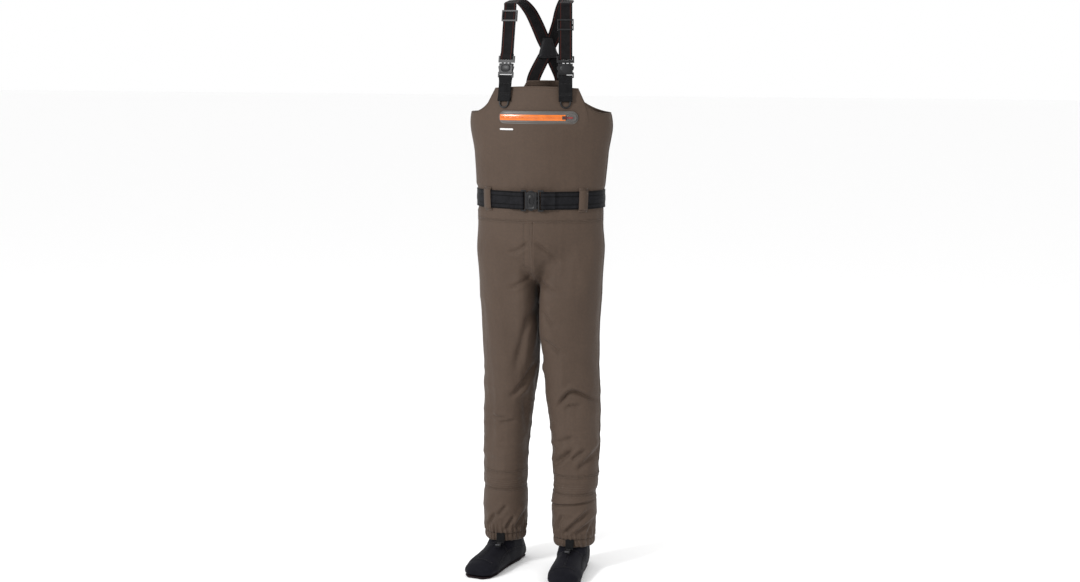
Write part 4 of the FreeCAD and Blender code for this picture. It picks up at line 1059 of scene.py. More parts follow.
def full_room(z):
    """How much looser the guard hangs in its middle."""
    return GUARD_FULLNESS * np.sin(math.pi * np.clip((GUARD_TOP_Z - z) / 0.125, 0, 1)) ** 1.5


def hem_grid(side, rows=18, columns=320):
    """The elastic hem: a soft tube of cloth pleated by the elastic inside it."""
    t = np.linspace(0, 2 * math.pi, columns, endpoint=False)
    cuff = leg_ring(CUFF_Z, side)
    share = np.linspace(0, 1, rows)
    grid = np.zeros((rows, columns, 3))
    for i, s in enumerate(share):
        round_edge = -0.0035 * (1 - math.sin(math.pi * min(max(s, 0.0), 1.0)) ** 0.45)
        half_x, half_y = HEM_HALF[0] + round_edge, HEM_HALF[1] + round_edge
        z = HEM_TOP_Z + 0.0006 + (HEM_LOW_Z + 0.0006 - HEM_TOP_Z) * s
        grid[i] = np.stack([cuff[0] + half_x * np.cos(t), cuff[1] - 0.001 + half_y * np.sin(t),
                            np.full(columns, z)], axis=1)
    normal = np.stack([np.cos(t), np.sin(t), np.zeros(columns)], axis=1)[None] * np.ones((rows, 1, 1))
    pleat = 0.0014 * wrinkles(grid, (105, 105, 10), 61) + 0.0026 * pleats(t, grid[..., 2], side)
    edge = np.sin(math.pi * share)[:, None] ** 0.5
    wave = 0.0016 * swell(grid, (45, 45, 1), 67)
    grid = grid + normal * (pleat * (0.35 + 0.65 * edge))[..., None]
    grid[..., 2] += wave * ease(share, 0.5, 1.0)[:, None]
    return grid


for name, side in SIDES.items():
    grid = guard_grid(name, side)
    guard = cloth_piece(f"{name}_gravel_guard_cloth", grid, closed=True, nodes=(f"{name}_gravel_guard",))
    panels.append((f"{name}_gravel_guard_cloth", np.concatenate([grid, grid[:, :1]], axis=1)))
    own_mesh(guard)
    hem = hem_grid(side)
    obj = piece(f"{name}_guard_hem_cloth", grid_mesh(f"{name}_guard_hem_cloth", hem, closed=True), LAMINATE,
                f"{name}_hem", (f"{name}_guard_hem",))
    thicken(obj, 0.0034)
    hem_closed = np.concatenate([hem, hem[:, :1]], axis=1)
    declare(hem_closed)
    cuff = leg_ring(CUFF_Z, side)
    out = unit((hem - np.array([cuff[0], cuff[1], 0])) * np.array([1, 1, 0]))
    rows = []
    for i in (3, 12):
        line = np.concatenate([hem[i], hem[i, :1]])
        rows.append((line, np.concatenate([out[i], out[i, :1]])))
    stitches(f"{name}_hem_stitching", rows, THREAD, f"{name}_hem")
    top = grid[0]
    ring_out = unit((top - np.array([leg_ring(GUARD_TOP_Z, side)[0], leg_ring(GUARD_TOP_Z, side)[1],
                                     0])) * np.array([1, 1, 0]))
    seam(f"{name}_guard_top_seam", top, ring_out, closed=True, rows=(-0.0022, 0.0022), rise=0.3)
    leg, out = garment[name], normals[name]
    for height in ELASTIC_ROWS:
        i = row_at(height)
        front_part = slice(4, 52)
        seam_rows.append((leg[i, front_part] + out[i, front_part] * 0.0002, out[i, front_part]))

# ---------------------------------------------------------------- webbing hook tabs and booties
for name, side in SIDES.items():
    ring = leg_ring(CUFF_Z, side)
    face = ring[1] - 0.001 - HEM_HALF[1] - 0.0018
    path = smooth_line([(ring[0], face, 0.1010), (ring[0], face - 0.0008, 0.0880),
                        (ring[0], face - 0.0016, 0.0818),
                        (ring[0], face - 0.0080, 0.0766), (ring[0], face - 0.0146, 0.0748)], 28)
    mesh = swept(f"{name}_hook_tab_webbing", path, np.tile([[-1.0, 0, 0]], (28, 1)),
                 webbing_profile(0.024, 0.0018, ribs=6, rib_rise=0.0002))
    obj = piece(f"{name}_hook_tab_webbing", mesh, WEBBING, f"{name}_hem", (f"{name}_hook_tab",))


def carve(name, node, voxel, rounds, material, body, factor=0.5):
    """A smooth organic skin over a soft CAD solid: remeshed finely, then relaxed."""
    source = frame["nodes"][node]
    obj = bpy.data.objects.new(name, source.data.copy())
    bpy.context.scene.collection.objects.link(obj)
    obj.data.materials.clear()
    bpy.context.view_layer.objects.active = obj
    remesh = obj.modifiers.new("remesh", "REMESH")
    remesh.mode = "VOXEL"
    remesh.voxel_size = voxel
    remesh.use_smooth_shade = True
    relax = obj.modifiers.new("relax", "SMOOTH")
    relax.factor = factor
    relax.iterations = rounds
    with bpy.context.temp_override(object=obj, active_object=obj, selected_objects=[obj]):
        for modifier in ("remesh", "relax"):
            bpy.ops.object.modifier_apply(modifier=modifier)
    obj.data.materials.append(material)
    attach(obj, body)
    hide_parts(node)
    return obj


def foot_frame(name):
    """A bootie's own frame: its ankle's axis on the floor, turned out by the toe-out angle."""
    side = SIDES[name]
    turn = math.radians(side * (1 if name == "left" else 15))
    start = Vector((side * 0.104, (-STRIDE if name == "left" else 0.0) + AXIS_Y, 0))
    return Matrix.Translation(start) @ Matrix.Rotation(turn, 4, "Z")


def traced(tree, place, rays, count, closed=False):
    """A line drawn on a surface: rays from outside towards the middle, in the piece's own frame."""
    points, normal = [], []
    for start, aim in rays:
        a, b = place @ Vector(start), place @ Vector(aim)
        hit, out, _, _ = tree.ray_cast(a, (b - a).normalized())
        if hit is None:
            continue
        points.append(tuple(hit))
        normal.append(tuple(out))
    line = smooth_line(points, count, closed)
    return line, unit(smooth_line(normal, count, closed))


def around_foot(y, low, high, steps=17, height=0.034, reach=0.2):
    """Rays over the top of the foot at a place along it, from one side to the other."""
    rays = []
    for k in range(steps):
        a = math.radians(low + (high - low) * k / (steps - 1))
        rays.append(((reach * math.cos(a), y, height + reach * math.sin(a)), (0, y, height)))
    return rays


TOE_START = -0.050               # where the front of the foot begins, along the foot
TOE_SHARE = 0.90                 # how far the soft toe falls short of the solid's
TOE_BEND = {"left": 0.0, "right": 0.050}


def worn(obj, name):
    """Draw the empty toe of a bootie piece in, as soft neoprene lies without a foot inside it."""
    place = foot_frame(name)
    turn = np.array(place.inverted())
    back_turn = np.array(place)
    points = np.empty(len(obj.data.vertices) * 3)
    obj.data.vertices.foreach_get("co", points)
    local = points.reshape(-1, 3) @ turn[:3, :3].T + turn[:3, 3]
    ahead = np.maximum(TOE_START - local[:, 1], 0)
    local[:, 0] += TOE_BEND[name] * ahead
    local[:, 1] += (1 - TOE_SHARE) * ahead
    points = local @ back_turn[:3, :3].T + back_turn[:3, 3]
    obj.data.vertices.foreach_set("co", points.reshape(-1))
    obj.data.update()


def instep(start_x):
    """Rays from one side of the foot to its middle plane, along an arched line over the instep."""
    arch = [(-0.130 + 0.190 * k / 12, 0.030 + 0.020 * math.sin(math.pi * k / 12)) for k in range(13)]
    return [((start_x, y, z), (0, y, z)) for y, z in arch]


for name, side in SIDES.items():
    bootie = carve(f"{name}_bootie_upper_neoprene", f"{name}_bootie_upper", 0.0024, 60, NEOPRENE, "garment")
    worn(bootie, name)
    place = foot_frame(name)
    data = bootie.data
    points = np.empty(len(data.vertices) * 3)
    data.vertices.foreach_get("co", points)
    points = points.reshape(-1, 3)
    turn = np.array(place.inverted())
    local = points @ turn[:3, :3].T + turn[:3, 3]
    normal = np.empty(len(data.vertices) * 3)
    data.vertices.foreach_get("normal", normal)
    normal = normal.reshape(-1, 3)
    x, y, z = local[:, 0], local[:, 1], local[:, 2]
    ankle = bump_at(z, 0.098, 0.030) * ease(y, -0.085, -0.030)
    depth = 0.0030 * wrinkles(local, (9, 9, 34), 71) * ankle
    depth += 0.0022 * wrinkles(local, (14, 26, 16), 73) * bump_at(y, -0.055, 0.030) * ease(z, 0.03, 0.07)
    depth += 0.0014 * swell(local, (22, 16, 22), 75)
    depth *= ease(z, 0.012, 0.030)
    # the neck only folds inwards, so the gathered hem passes over it
    depth = np.minimum(depth, 0.004 * (1 - ease(z, 0.092, 0.106)))
    depth -= 0.0016 * ease(z, 0.104, 0.124)
    points = points + normal * depth[:, None]
    data.vertices.foreach_set("co", points.reshape(-1))
    data.polygons.foreach_set("use_smooth", [True] * len(data.polygons))
    data.update()
    tree = BVHTree.FromPolygons([tuple(p) for p in points.tolist()],
                                [tuple(p.vertices) for p in data.polygons])
    lines = {
        "toe_cap": around_foot(-0.162, 4, 176),
        "instep_low": instep(0.2),
        "instep_high": instep(-0.2),
        "vamp": around_foot(-0.066, 12, 168, height=0.030),
        "heel": [((0, 0.25, 0.016 + 0.062 * k / 8), (0, 0.02, 0.016 + 0.062 * k / 8)) for k in range(9)],
        "middle": [((0, -0.162 + 0.092 * k / 10, 0.25),
                    (0, -0.162 + 0.092 * k / 10, 0.03)) for k in range(11)],
    }
    rows = []
    for label, rays in lines.items():
        line, out = traced(tree, place, rays, 70)
        wide = np.cross(unit(np.gradient(line, axis=0)), out)
        mesh = swept(f"{name}_bootie_{label}_tape", line, -wide,
                     [(-0.0032, -0.0006), (-0.0026, 0.0005), (0.0, 0.0008), (0.0026, 0.0005),
                      (0.0032, -0.0006)],
                     loop=False)
        piece(f"{name}_bootie_{label}_tape", mesh, NEOPRENE_TAPE, "garment")
        for offset in (-0.0016, 0.0016):
            rows.append((beside(line, out, offset) + out * 0.0007, out))
    stitches(f"{name}_bootie_stitching", rows, DARK_THREAD, "garment", pitch=0.0030)
    sole = carve(f"{name}_bootie_sole_rubber", f"{name}_bootie_sole", 0.0014, 60, SOLE, "garment")
    worn(sole, name)


# ---------------------------------------------------------------- straps over the shoulders
def strap_frame(side):
    """One shoulder strap's frame: X across, -Y outwards, Z up the strap from its D-ring's bar."""
    turn = Matrix.Rotation(math.radians(side * 12), 4, "Z") @ Matrix.Rotation(math.radians(-9.4), 4, "X")
    return Matrix.Translation((side * 0.087, -0.0835 + AXIS_Y, 1.343)) @ turn


def placed(place, points):
    """Points moved by a matrix."""
    matrix = np.array(place)
    return np.asarray(points, float) @ matrix[:3, :3].T + matrix[:3, 3]


def strap(name, place, path, count, section, material, body, nodes=(), closed=False):
    """A strap whose path lies in its own frame's Y and Z."""
    line = smooth_line([(0.0, y, z) for y, z in path], count, closed)
    wide = np.tile([[1.0, 0, 0]], (count, 1))
    if closed:
        line = line[:-1]
        wide = wide[:-1]
    line = placed(place, line)
    wide = wide @ np.array(place)[:3, :3].T
    mesh = swept(name, line, wide, section, closed=closed)
    return piece(name, mesh, material, body, nodes), line


TAB_PATH = [(-0.0010, 0.0300), (-0.0013, 0.0500), (-0.0034, 0.0585), (-0.0040, 0.0640), (-0.0026, 0.0675),
            (0.0, 0.0684), (0.0026, 0.0675), (0.0040, 0.0640), (0.0034, 0.0585), (0.0013, 0.0500),
            (0.0011, 0.0300),
            (0.0012, 0.0110), (0.0026, 0.0042), (0.0034, 0.0), (0.0024, -0.0027), (0.0, -0.0036),
            (-0.0024, -0.0027),
            (-0.0034, 0.0), (-0.0026, 0.0042), (-0.0011, 0.0110)]
REAR_POINTS = [(77, -14, 1613), (70, 10, 1617.5), (59, 38, 1609), (44, 66, 1584), (31, 88, 1550)]
REAR_WIDTHS = [(1, 0.10, -0.02), (1, 0.26, -0.14), (1, 0.34, -0.28), (1, 0.30, -0.42), (1, 0.16, -0.52)]
ADJUSTER_AT = {"left": 0.209, "right": 0.234}
# how far below the adjuster the strap's two layers lie close, and where they are held again below that
TAIL_SPREAD = {"left": (0.016, (0.155,)), "right": (0.030, ())}
strap_places = {}
for name, side in SIDES.items():
    place = strap_frame(side)
    strap_places[name] = place
    tab, _ = strap(f"{name}_shoulder_tab_webbing", place, TAB_PATH, 150,
                   webbing_profile(BRACE_WIDTH, 0.0013, ribs=9, rib_rise=0.00022),
                   WEBBING, "garment", (f"{name}_shoulder_tab",), closed=True)
    rows = []
    for height in (0.0125, 0.0150, 0.0175, 0.0200, 0.0440, 0.0465):
        across = np.linspace(-0.0165, 0.0165, 12)
        line = placed(place, np.stack([across, np.full(12, -0.0022), np.full(12, height)], axis=1))
        out = np.tile(np.array(place)[:3, :3] @ np.array([0, -1.0, 0]), (12, 1))
        rows.append((line, out))
    stitches(f"{name}_tab_stitching", rows, DARK_THREAD, "garment")
    at = ADJUSTER_AT[name]
    drop, extra = TAIL_SPREAD[name]
    low = at - drop
    front_path = [(0.0022, at - 0.004), (0.0014, low), *[(0.0012, z) for z in extra], (0.0012, 0.136),
                  (0.0034, 0.1275), (0.0046, 0.1205),
                  (0.0034, 0.1146), (0.0, 0.1124), (-0.0034, 0.1146), (-0.0046, 0.1205), (-0.0034, 0.1275),
                  (-0.0010, 0.136), *[(-0.0010, z) for z in extra], (-0.0008, low), (-0.0004, at),
                  (0.0, at + 0.020), (0.0, 0.2620)]
    strip, line = strap(f"{name}_front_strap_elastic", place, front_path, 190,
                        webbing_profile(BRACE_WIDTH, 0.0014, ribs=12, rib_rise=0.00020), ELASTIC, "garment",
                        (f"{name}_front_strap",))
    up = place.to_3x3() @ Vector((0, 0, 1))
    end = place @ Vector((0, 0, 0.262))
    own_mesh(strip)
    top = np.array(place @ Vector((0, 0, 0.2600)))
    across = np.array(place.to_3x3() @ Vector((1, 0, 0)))
    lift = 98 - side * 1.6
    points = [top, top + np.array(up) * 0.008]
    points += [np.array([side * x, y, z]) * MM + [0, AXIS_Y, 0] for x, y, z in REAR_POINTS]
    low_points = [(19, lift - 2, 1518), (13, lift, 1504), (-9, lift, 1462), (-16, lift - 1, 1449),
                  (-35, 90, 1410), (-41, 83.5, 1388), (-44, 86, 1362)]
    points += [np.array([side * x, y, z]) * MM + [0, AXIS_Y, 0] for x, y, z in low_points]
    widths = [across, across] + [np.array([side * a, b, c]) * side for a, b, c in REAR_WIDTHS]
    square = np.array([1.0, 0, -0.62 * side])
    widths += [square] * 4
    widths += [np.array([1, -0.10 * side, -0.50 * side]), np.array([1, -0.22 * side, -0.42 * side]),
               np.array([1, 0.30 * side, -0.30 * side])]
    count = 220
    line = smooth_line(points, count)
    wide = smooth_line([unit(w) for w in widths], count)
    mesh = swept(f"{name}_rear_strap_elastic", line, wide,
                 webbing_profile(BRACE_WIDTH, 0.0016, ribs=12, rib_rise=0.00020))
    obj = piece(f"{name}_rear_strap_elastic", mesh, ELASTIC, "garment",
                (f"{name}_rear_strap",))
    length = float(np.linalg.norm(np.diff(line, axis=0), axis=1).sum())


# ---------------------------------------------------------------- waist belt and its loops
def torso_point(angle, z, out=0.0):
    """A point on the oval trunk and its outward direction.

    Angle 0 is the front middle, positive towards +X.
    """
    half_x, half_y = through(TRUNK, np.array([z]))[0]
    normal = np.array([math.sin(angle) * half_y, -math.cos(angle) * half_x, 0])
    normal = normal / np.linalg.norm(normal)
    return np.array([half_x * math.sin(angle), AXIS_Y - half_y * math.cos(angle), z]) + normal * out, normal


def angle_at(x, z, back=False):
    """The angle whose point on the trunk lies at a distance across."""
    half_x = through(TRUNK, np.array([z]))[0][0]
    angle = math.asin(x / half_x)
    return math.pi - angle if back else angle


BELT_OUT = 0.0025
BELT_FACE_Y = AXIS_Y - 0.108 - 0.0076
belt_section = webbing_profile(0.050, 0.0022, ribs=14, rib_rise=0.00030, band=(0.0085, 0.0007), edge=0.0003)
low_angle, high_angle = angle_at(-0.075, BELT_Z), angle_at(0.1117, BELT_Z)
count = 40
round_back = [torso_point(a, BELT_Z, BELT_OUT)[0] for a in np.linspace(high_angle, 2 * math.pi + low_angle,
                                                                       count)]
female_loop = [(-0.0560, BELT_FACE_Y + 0.0076), (-0.0430, BELT_FACE_Y + 0.0058),
               (-0.0350, BELT_FACE_Y + 0.0045),
               (-0.0290, BELT_FACE_Y + 0.0040), (-0.0252, BELT_FACE_Y + 0.0018),
               (-0.0248, BELT_FACE_Y - 0.0012),
               (-0.0275, BELT_FACE_Y - 0.0038), (-0.0330, BELT_FACE_Y - 0.0036),
               (-0.0400, BELT_FACE_Y - 0.0006),
               (-0.0480, BELT_FACE_Y + 0.0024), (-0.0640, BELT_FACE_Y + 0.0040)]
line = smooth_line([tuple(p) for p in round_back] + [(x, y, BELT_Z) for x, y in female_loop], 420)
mesh = swept("belt_webbing_ribbed", line, np.tile([[0, 0, -1.0]], (len(line), 1)), belt_section)
belt = piece("belt_webbing_ribbed", mesh, BELT_CLOTH, "garment", ("belt_webbing",))
length = float(np.linalg.norm(np.diff(line, axis=0), axis=1).sum())
male_loop = [(0.0640, BELT_FACE_Y + 0.0042), (0.0500, BELT_FACE_Y + 0.0024), (0.0400, BELT_FACE_Y - 0.0010),
             (0.0345, BELT_FACE_Y - 0.0038), (0.0298, BELT_FACE_Y - 0.0046), (0.0258, BELT_FACE_Y - 0.0026),
             (0.0254, BELT_FACE_Y + 0.0020), (0.0290, BELT_FACE_Y + 0.0046), (0.0350, BELT_FACE_Y + 0.0050),
             (0.0430, BELT_FACE_Y + 0.0060), (0.0560, BELT_FACE_Y + 0.0078)]
side_part = [tuple(torso_point(a, BELT_Z, BELT_OUT)[0]) for a in np.linspace(angle_at(0.070, BELT_Z),
                                                                             high_angle, 8)]
line = smooth_line([(x, y, BELT_Z) for x, y in male_loop] + side_part, 150)
mesh = swept("belt_front_section_ribbed", line, np.tile([[0, 0, -1.0]], (len(line), 1)), belt_section)
section = piece("belt_front_section_ribbed", mesh, BELT_CLOTH, "garment",
                ("belt_front_section",))
length = float(np.linalg.norm(np.diff(line, axis=0), axis=1).sum())
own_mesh(section)


def loop_strip(name, x, behind):
    """A belt loop of face fabric: sewn flat above and below the belt and standing off over it."""
    angle = angle_at(x, BELT_Z, behind)
    heights = [(1.0998, 0.0008), (1.0955, 0.0012), (1.0925, 0.0034), (1.0895, 0.0058), (1.0660, 0.0064),
               (1.0425, 0.0058), (1.0395, 0.0034), (1.0365, 0.0012), (1.0322, 0.0008)]
    points = [tuple(torso_point(angle, z, out)[0]) for z, out in heights]
    _, normal = torso_point(angle, BELT_Z)
    wide = np.cross(normal, [0, 0, 1.0])
    line = smooth_line(points, 60)
    flat = [(-0.0135, -0.0004), (-0.0133, 0.0006), (-0.0120, 0.0009), (-0.0108, 0.0006), (0.0, 0.0007),
            (0.0108, 0.0006), (0.0120, 0.0009), (0.0133, 0.0006), (0.0135, -0.0004), (0.0, -0.0006)]
    return swept(name, line, np.tile([-wide], (60, 1)), flat), line, normal, wide


loop_rows = []
for label, x, behind in (("front_belt_loops", 0.134, False), ("rear_belt_loops", 0.062, True)):
    for sign, word in ((-1, "right"), (1, "left")):
        mesh, line, normal, wide = loop_strip(f"{word}_{label}", sign * x, behind)
        obj = piece(f"{word}_{label[:-1]}_cloth", mesh, LAMINATE, "garment", (label,))
        for height in (1.0975, 1.0945, 1.0375, 1.0345):
            across = np.linspace(-0.0112, 0.0112, 8)
            middle, _ = torso_point(angle_at(sign * x, BELT_Z, behind), height, 0.0030)
            loop_rows.append((middle[None] + across[:, None] * wide[None], np.tile(normal, (8, 1))))
stitches("belt_loop_stitching", loop_rows, THREAD, "garment")


# ---------------------------------------------------------------- bib facings, seam tape and pocket bag
def facing(name, grid, out, node):
    """The hem inside the bib's top edge: the cloth turned over the edge and down."""
    deep = 5
    over = grid[0] + np.array([0, 0, 0.0007])
    outer = grid[1] + out[1] * 0.0007
    inner = [grid[i] - out[i] * (0.0016 + 0.0002 * i) for i in range(0, deep)]
    strip = np.stack([outer, grid[0] + out[0] * 0.0006 + np.array([0, 0, 0.0003]), over] + inner)
    obj = piece(name, grid_mesh(name, strip[::-1]), LAMINATE, "garment", (node,))
    declare(strip)
    seam_rows.append((grid[3] + out[3] * 0.0003, out[3]))
    return obj


facing("front_bib_facing_cloth", front, front_normals, "front_bib_facing")
facing("back_bib_facing_cloth", back, back_normals, "back_bib_facing")
tape = np.stack([around - around_normals * 0.0016 + np.array([0, 0, z]) for z in (0.011, 0.0, -0.011)])
obj = piece("waist_seam_tape_strip", grid_mesh("waist_seam_tape_strip", tape, flip=True, closed=True),
            SEAM_TAPE,
            "garment", ("waist_seam_tape",))
closed_tape = np.concatenate([tape, tape[:, :1]], axis=1)
declare(closed_tape)


# ---------------------------------------------------------------- softened hard parts
def softened(node, material, width=0.0007, segments=3):
    """A moulded copy of a CAD part, its edges rounded."""
    source = frame["nodes"][node]
    mesh = source.data.copy()
    mesh.name = f"{node}_moulded"
    shape = bmesh.new()
    shape.from_mesh(mesh)
    bmesh.ops.remove_doubles(shape, verts=shape.verts, dist=1e-5)
    bmesh.ops.dissolve_limit(shape, angle_limit=math.radians(2), verts=shape.verts, edges=shape.edges)
    shape.to_mesh(mesh)
    shape.free()
    mesh.materials.clear()
    obj = piece(f"{node}_moulded", mesh, material, body_of[node], (node,))
    bevel = obj.modifiers.new("bevel", "BEVEL")
    bevel.width = width
    bevel.segments = segments
    bevel.limit_method = "ANGLE"
    bevel.angle_limit = math.radians(28)
    bevel.use_clamp_overlap = True
    bevel.harden_normals = False
    mesh.polygons.foreach_set("use_smooth", [True] * len(mesh.polygons))
    weighted = obj.modifiers.new("normals", "WEIGHTED_NORMAL")
    weighted.keep_sharp = True
    return obj


for name in SIDES:
    for part in ("buckle_female", "buckle_male", "inner_prong", "outer_prong", "strap_adjuster"):
        softened(f"{name}_{part}", ACETAL)
for part in ("belt_buckle_female", "belt_buckle_male", "belt_lower_prong", "belt_upper_prong"):
    softened(part, ACETAL, 0.0010)


def relief(name, place, middle, half, steps, body, power=3.0, sides=56):
    """A moulded raised shape on a flat face: steps are (share of its half sizes, how far it stands out)."""
    angle = np.linspace(0, 2 * math.pi, sides, endpoint=False)
    c, s = np.cos(angle), np.sin(angle)
    c, s = np.sign(c) * np.abs(c) ** (2 / power), np.sign(s) * np.abs(s) ** (2 / power)
    rings = []
    for share, out in steps:
        flat = np.stack([middle[0] + half[0] * share * c, np.full(sides, middle[1] - out),
                         middle[2] + half[1] * share * s], axis=1)
        rings.append(placed(place, flat))
    return piece(name, grid_mesh(name, np.stack(rings), closed=True), ACETAL, body)


DOME = [(1.0, -0.0004), (1.0, 0.0003), (0.97, 0.0009), (0.88, 0.0015), (0.70, 0.0021), (0.48, 0.0026),
        (0.25, 0.0029),
        (0.02, 0.0030)]
PANEL = [(1.0, -0.0004), (1.0, 0.0005), (0.985, 0.0010), (0.95, 0.0012), (0.88, 0.0012), (0.86, 0.0008),
         (0.60, 0.0009), (0.30, 0.0010), (0.02, 0.0010)]
for name in SIDES:
    place = strap_places[name]
    relief(f"{name}_buckle_dome", place, (0.0, -0.0045, 0.0880), (0.0150, 0.0112), DOME, "garment", 2.4)
    relief(f"{name}_buckle_brow", place, (0.0, -0.0045, 0.0985), (0.0185, 0.0018), PANEL, "garment", 4.0)
front_place = Matrix.Identity(4)
female_low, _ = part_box("belt_buckle_female")
relief("belt_buckle_female_panel", front_place, (-0.0035, female_low.y, BELT_Z), (0.0125, 0.0235), PANEL,
       "garment", 5.0)
relief("belt_buckle_female_dome", front_place, (-0.0035, female_low.y - 0.0008, BELT_Z), (0.0085, 0.0170),
       DOME[:6],
       "garment", 2.6)


# ---------------------------------------------------------------- chest pocket on the bib's front
POCKET_RADIUS = 0.385
POCKET_AXIS_Y = AXIS_Y - 0.0986 + POCKET_RADIUS
ZIP_Z = 1.295


def on_chest(x, z, out):
    """A point on the arc that the pocket lies on, at a distance out from it."""
    angle = np.arcsin(np.clip(np.asarray(x, float) / POCKET_RADIUS, -1, 1))
    reach = POCKET_RADIUS + np.asarray(out, float)
    return np.stack(np.broadcast_arrays(reach * np.sin(angle), POCKET_AXIS_Y - reach * np.cos(angle),
                                        np.asarray(z, float)), axis=-1)


def stadium(low, high, radius, inset, count=64):
    """Points round a stadium whose ends are at low and high, moved inwards."""
    r = radius - inset
    right = np.linspace(-math.pi / 2, math.pi / 2, count // 4)
    across = np.linspace(0, 1, count // 4 + 2)[1:-1]
    a, b = low + radius, high - radius
    points = [(b + r * math.cos(t), r * math.sin(t)) for t in right]
    points += [(b + (a - b) * s, r) for s in across]
    points += [(a - r * math.cos(t), r * math.sin(-t) * -1) for t in right[::-1]]
    points += [(a + (b - a) * s, -r) for s in across]
    return np.array(points)


def ring_stack(name, low, high, radius, steps, middle=ZIP_Z, count=96):
    """A flat moulded ring on the chest: steps are (inset, height above the chest)."""
    grid = []
    for inset, out in steps:
        flat = stadium(low, high, radius, inset, count)
        grid.append(on_chest(flat[:, 0], middle + flat[:, 1], out))
    return grid_mesh(name, np.stack(grid), flip=False, closed=True)


SURROUND_STEPS = [(0.0, 0.0002), (0.0, 0.0009), (0.0004, 0.0014), (0.0012, 0.0016), (0.0026, 0.0016),
                  (0.0030, 0.0011),
                  (0.0038, 0.0011), (0.0042, 0.0016), (0.0076, 0.0016), (0.0084, 0.0013), (0.0090, 0.0016),
                  (0.0130, 0.0016)]
piece("pocket_surround_film", ring_stack("pocket_surround_film", -0.101, 0.122, 0.018, SURROUND_STEPS),
                 POCKET_FILM, "garment", ("pocket_surround",))
span = np.linspace(-0.097, 0.0885, 90)
tape_line = on_chest(span, np.full(90, ZIP_Z), 0.0019)
TAPE_SECTION = [(-0.0082, -0.0004), (-0.0080, 0.0003), (-0.0072, 0.0006), (-0.0046, 0.0006),
                (-0.0038, 0.0010),
                (-0.0030, 0.0016), (-0.0012, 0.0019), (-0.0005, 0.0017), (0.0, 0.0008), (0.0005, 0.0017),
                (0.0012, 0.0019), (0.0030, 0.0016), (0.0038, 0.0010), (0.0046, 0.0006), (0.0072, 0.0006),
                (0.0080, 0.0003), (0.0082, -0.0004)]
mesh = swept("zipper_tape_coated", tape_line, np.tile([[0, 0, -1.0]], (90, 1)), TAPE_SECTION)
piece("zipper_tape_coated", mesh, ZIP_COATING, "garment", ("zipper_tape",))
turns = 146
steps = 10
phase = np.linspace(0, turns * 2 * math.pi, turns * steps)
coil_x = np.linspace(-0.094, 0.0855, turns * steps)
coil_line = on_chest(coil_x, ZIP_Z + 0.0013 * np.sin(phase), 0.0026 + 0.0009 * np.cos(phase))
wire = [(0.00030 * math.cos(t), 0.00030 * math.sin(t)) for t in np.linspace(0, 2 * math.pi, 6)[:-1][::-1]]
mesh = swept("zipper_coil_wound", coil_line, np.tile([[0, 1.0, 0.15]], (len(coil_line), 1)), wire)
piece("zipper_coil_wound", mesh, ZIP_COIL, "garment", ("zipper_coil",))
GARAGE_STEPS = [(0.0, 0.0016), (0.0, 0.0036), (0.0006, 0.0044), (0.0016, 0.0048), (0.0040, 0.0050),
                (0.0044, 0.0045),
                (0.0052, 0.0045), (0.0056, 0.0050), (0.0080, 0.0051), (0.0104, 0.0051), (0.01099, 0.0051)]
piece("zipper_garage_moulded",
      ring_stack("zipper_garage_moulded", 0.0905, 0.1185, 0.0110, GARAGE_STEPS, count=64),
      POCKET_FILM, "garment", ("zipper_garage",))


def lofted(name, stations, along, material, body, slot, nodes=(), sides=20, power=2.6):
    """A moulded form through rounded sections.

    Each station is (along, middle out, half width, half height).
    """
    angle = np.linspace(0, 2 * math.pi, sides, endpoint=False)
    c, s = np.cos(angle), np.sin(angle)
    c, s = np.sign(c) * np.abs(c) ** (2 / power), np.sign(s) * np.abs(s) ** (2 / power)
    rings = [along(u, half_width * c, out + half_height * s) for u, out, half_width, half_height in stations]
    return piece(name, grid_mesh(name, np.stack(rings), flip=True, closed=True), material, body, nodes)


def chest_lofted(name, stations, *rest, **more):
    """A lofted form that runs across the chest along the zip."""
    def along(x, up, out):
        return on_chest(np.full(len(up), x), ZIP_Z + up, out)
    return lofted(name, stations, along, *rest, **more)


# slider: a waisted body with a raised bridge; puller: a short cord loop that ends in a ribbed grip
chest_lofted("zipper_slider_body", [(0.0790, 0.0036, 0.0006, 0.0003), (0.0791, 0.0037, 0.0040, 0.0012),
                                    (0.0800, 0.0039, 0.0050, 0.0016), (0.0840, 0.0039, 0.0045, 0.0017),
                                    (0.0872, 0.0039, 0.0047, 0.0016), (0.0896, 0.0038, 0.0034, 0.0014),
                                    (0.0903, 0.0037, 0.0022, 0.0008), (0.0904, 0.0036, 0.0006, 0.0003)],
             SLIDER_METAL, "zip_slider", "slider_metal", ("zipper_slider",))
bridge = smooth_line([on_chest(x, ZIP_Z, out) for x, out in
                      ((0.0808, 0.0052), (0.0818, 0.0066), (0.0835, 0.0072), (0.0855, 0.0072),
                       (0.0868, 0.0064),
                       (0.0874, 0.0052))], 26)
mesh = swept("zipper_slider_bridge", bridge, np.tile([[0, 0, -1.0]], (26, 1)),
             [(0.0012 * math.cos(t), 0.0005 * math.sin(t)) for t in np.linspace(0, 2 * math.pi, 11)[:-1]])
piece("zipper_slider_bridge", mesh, SLIDER_METAL, "zip_slider")
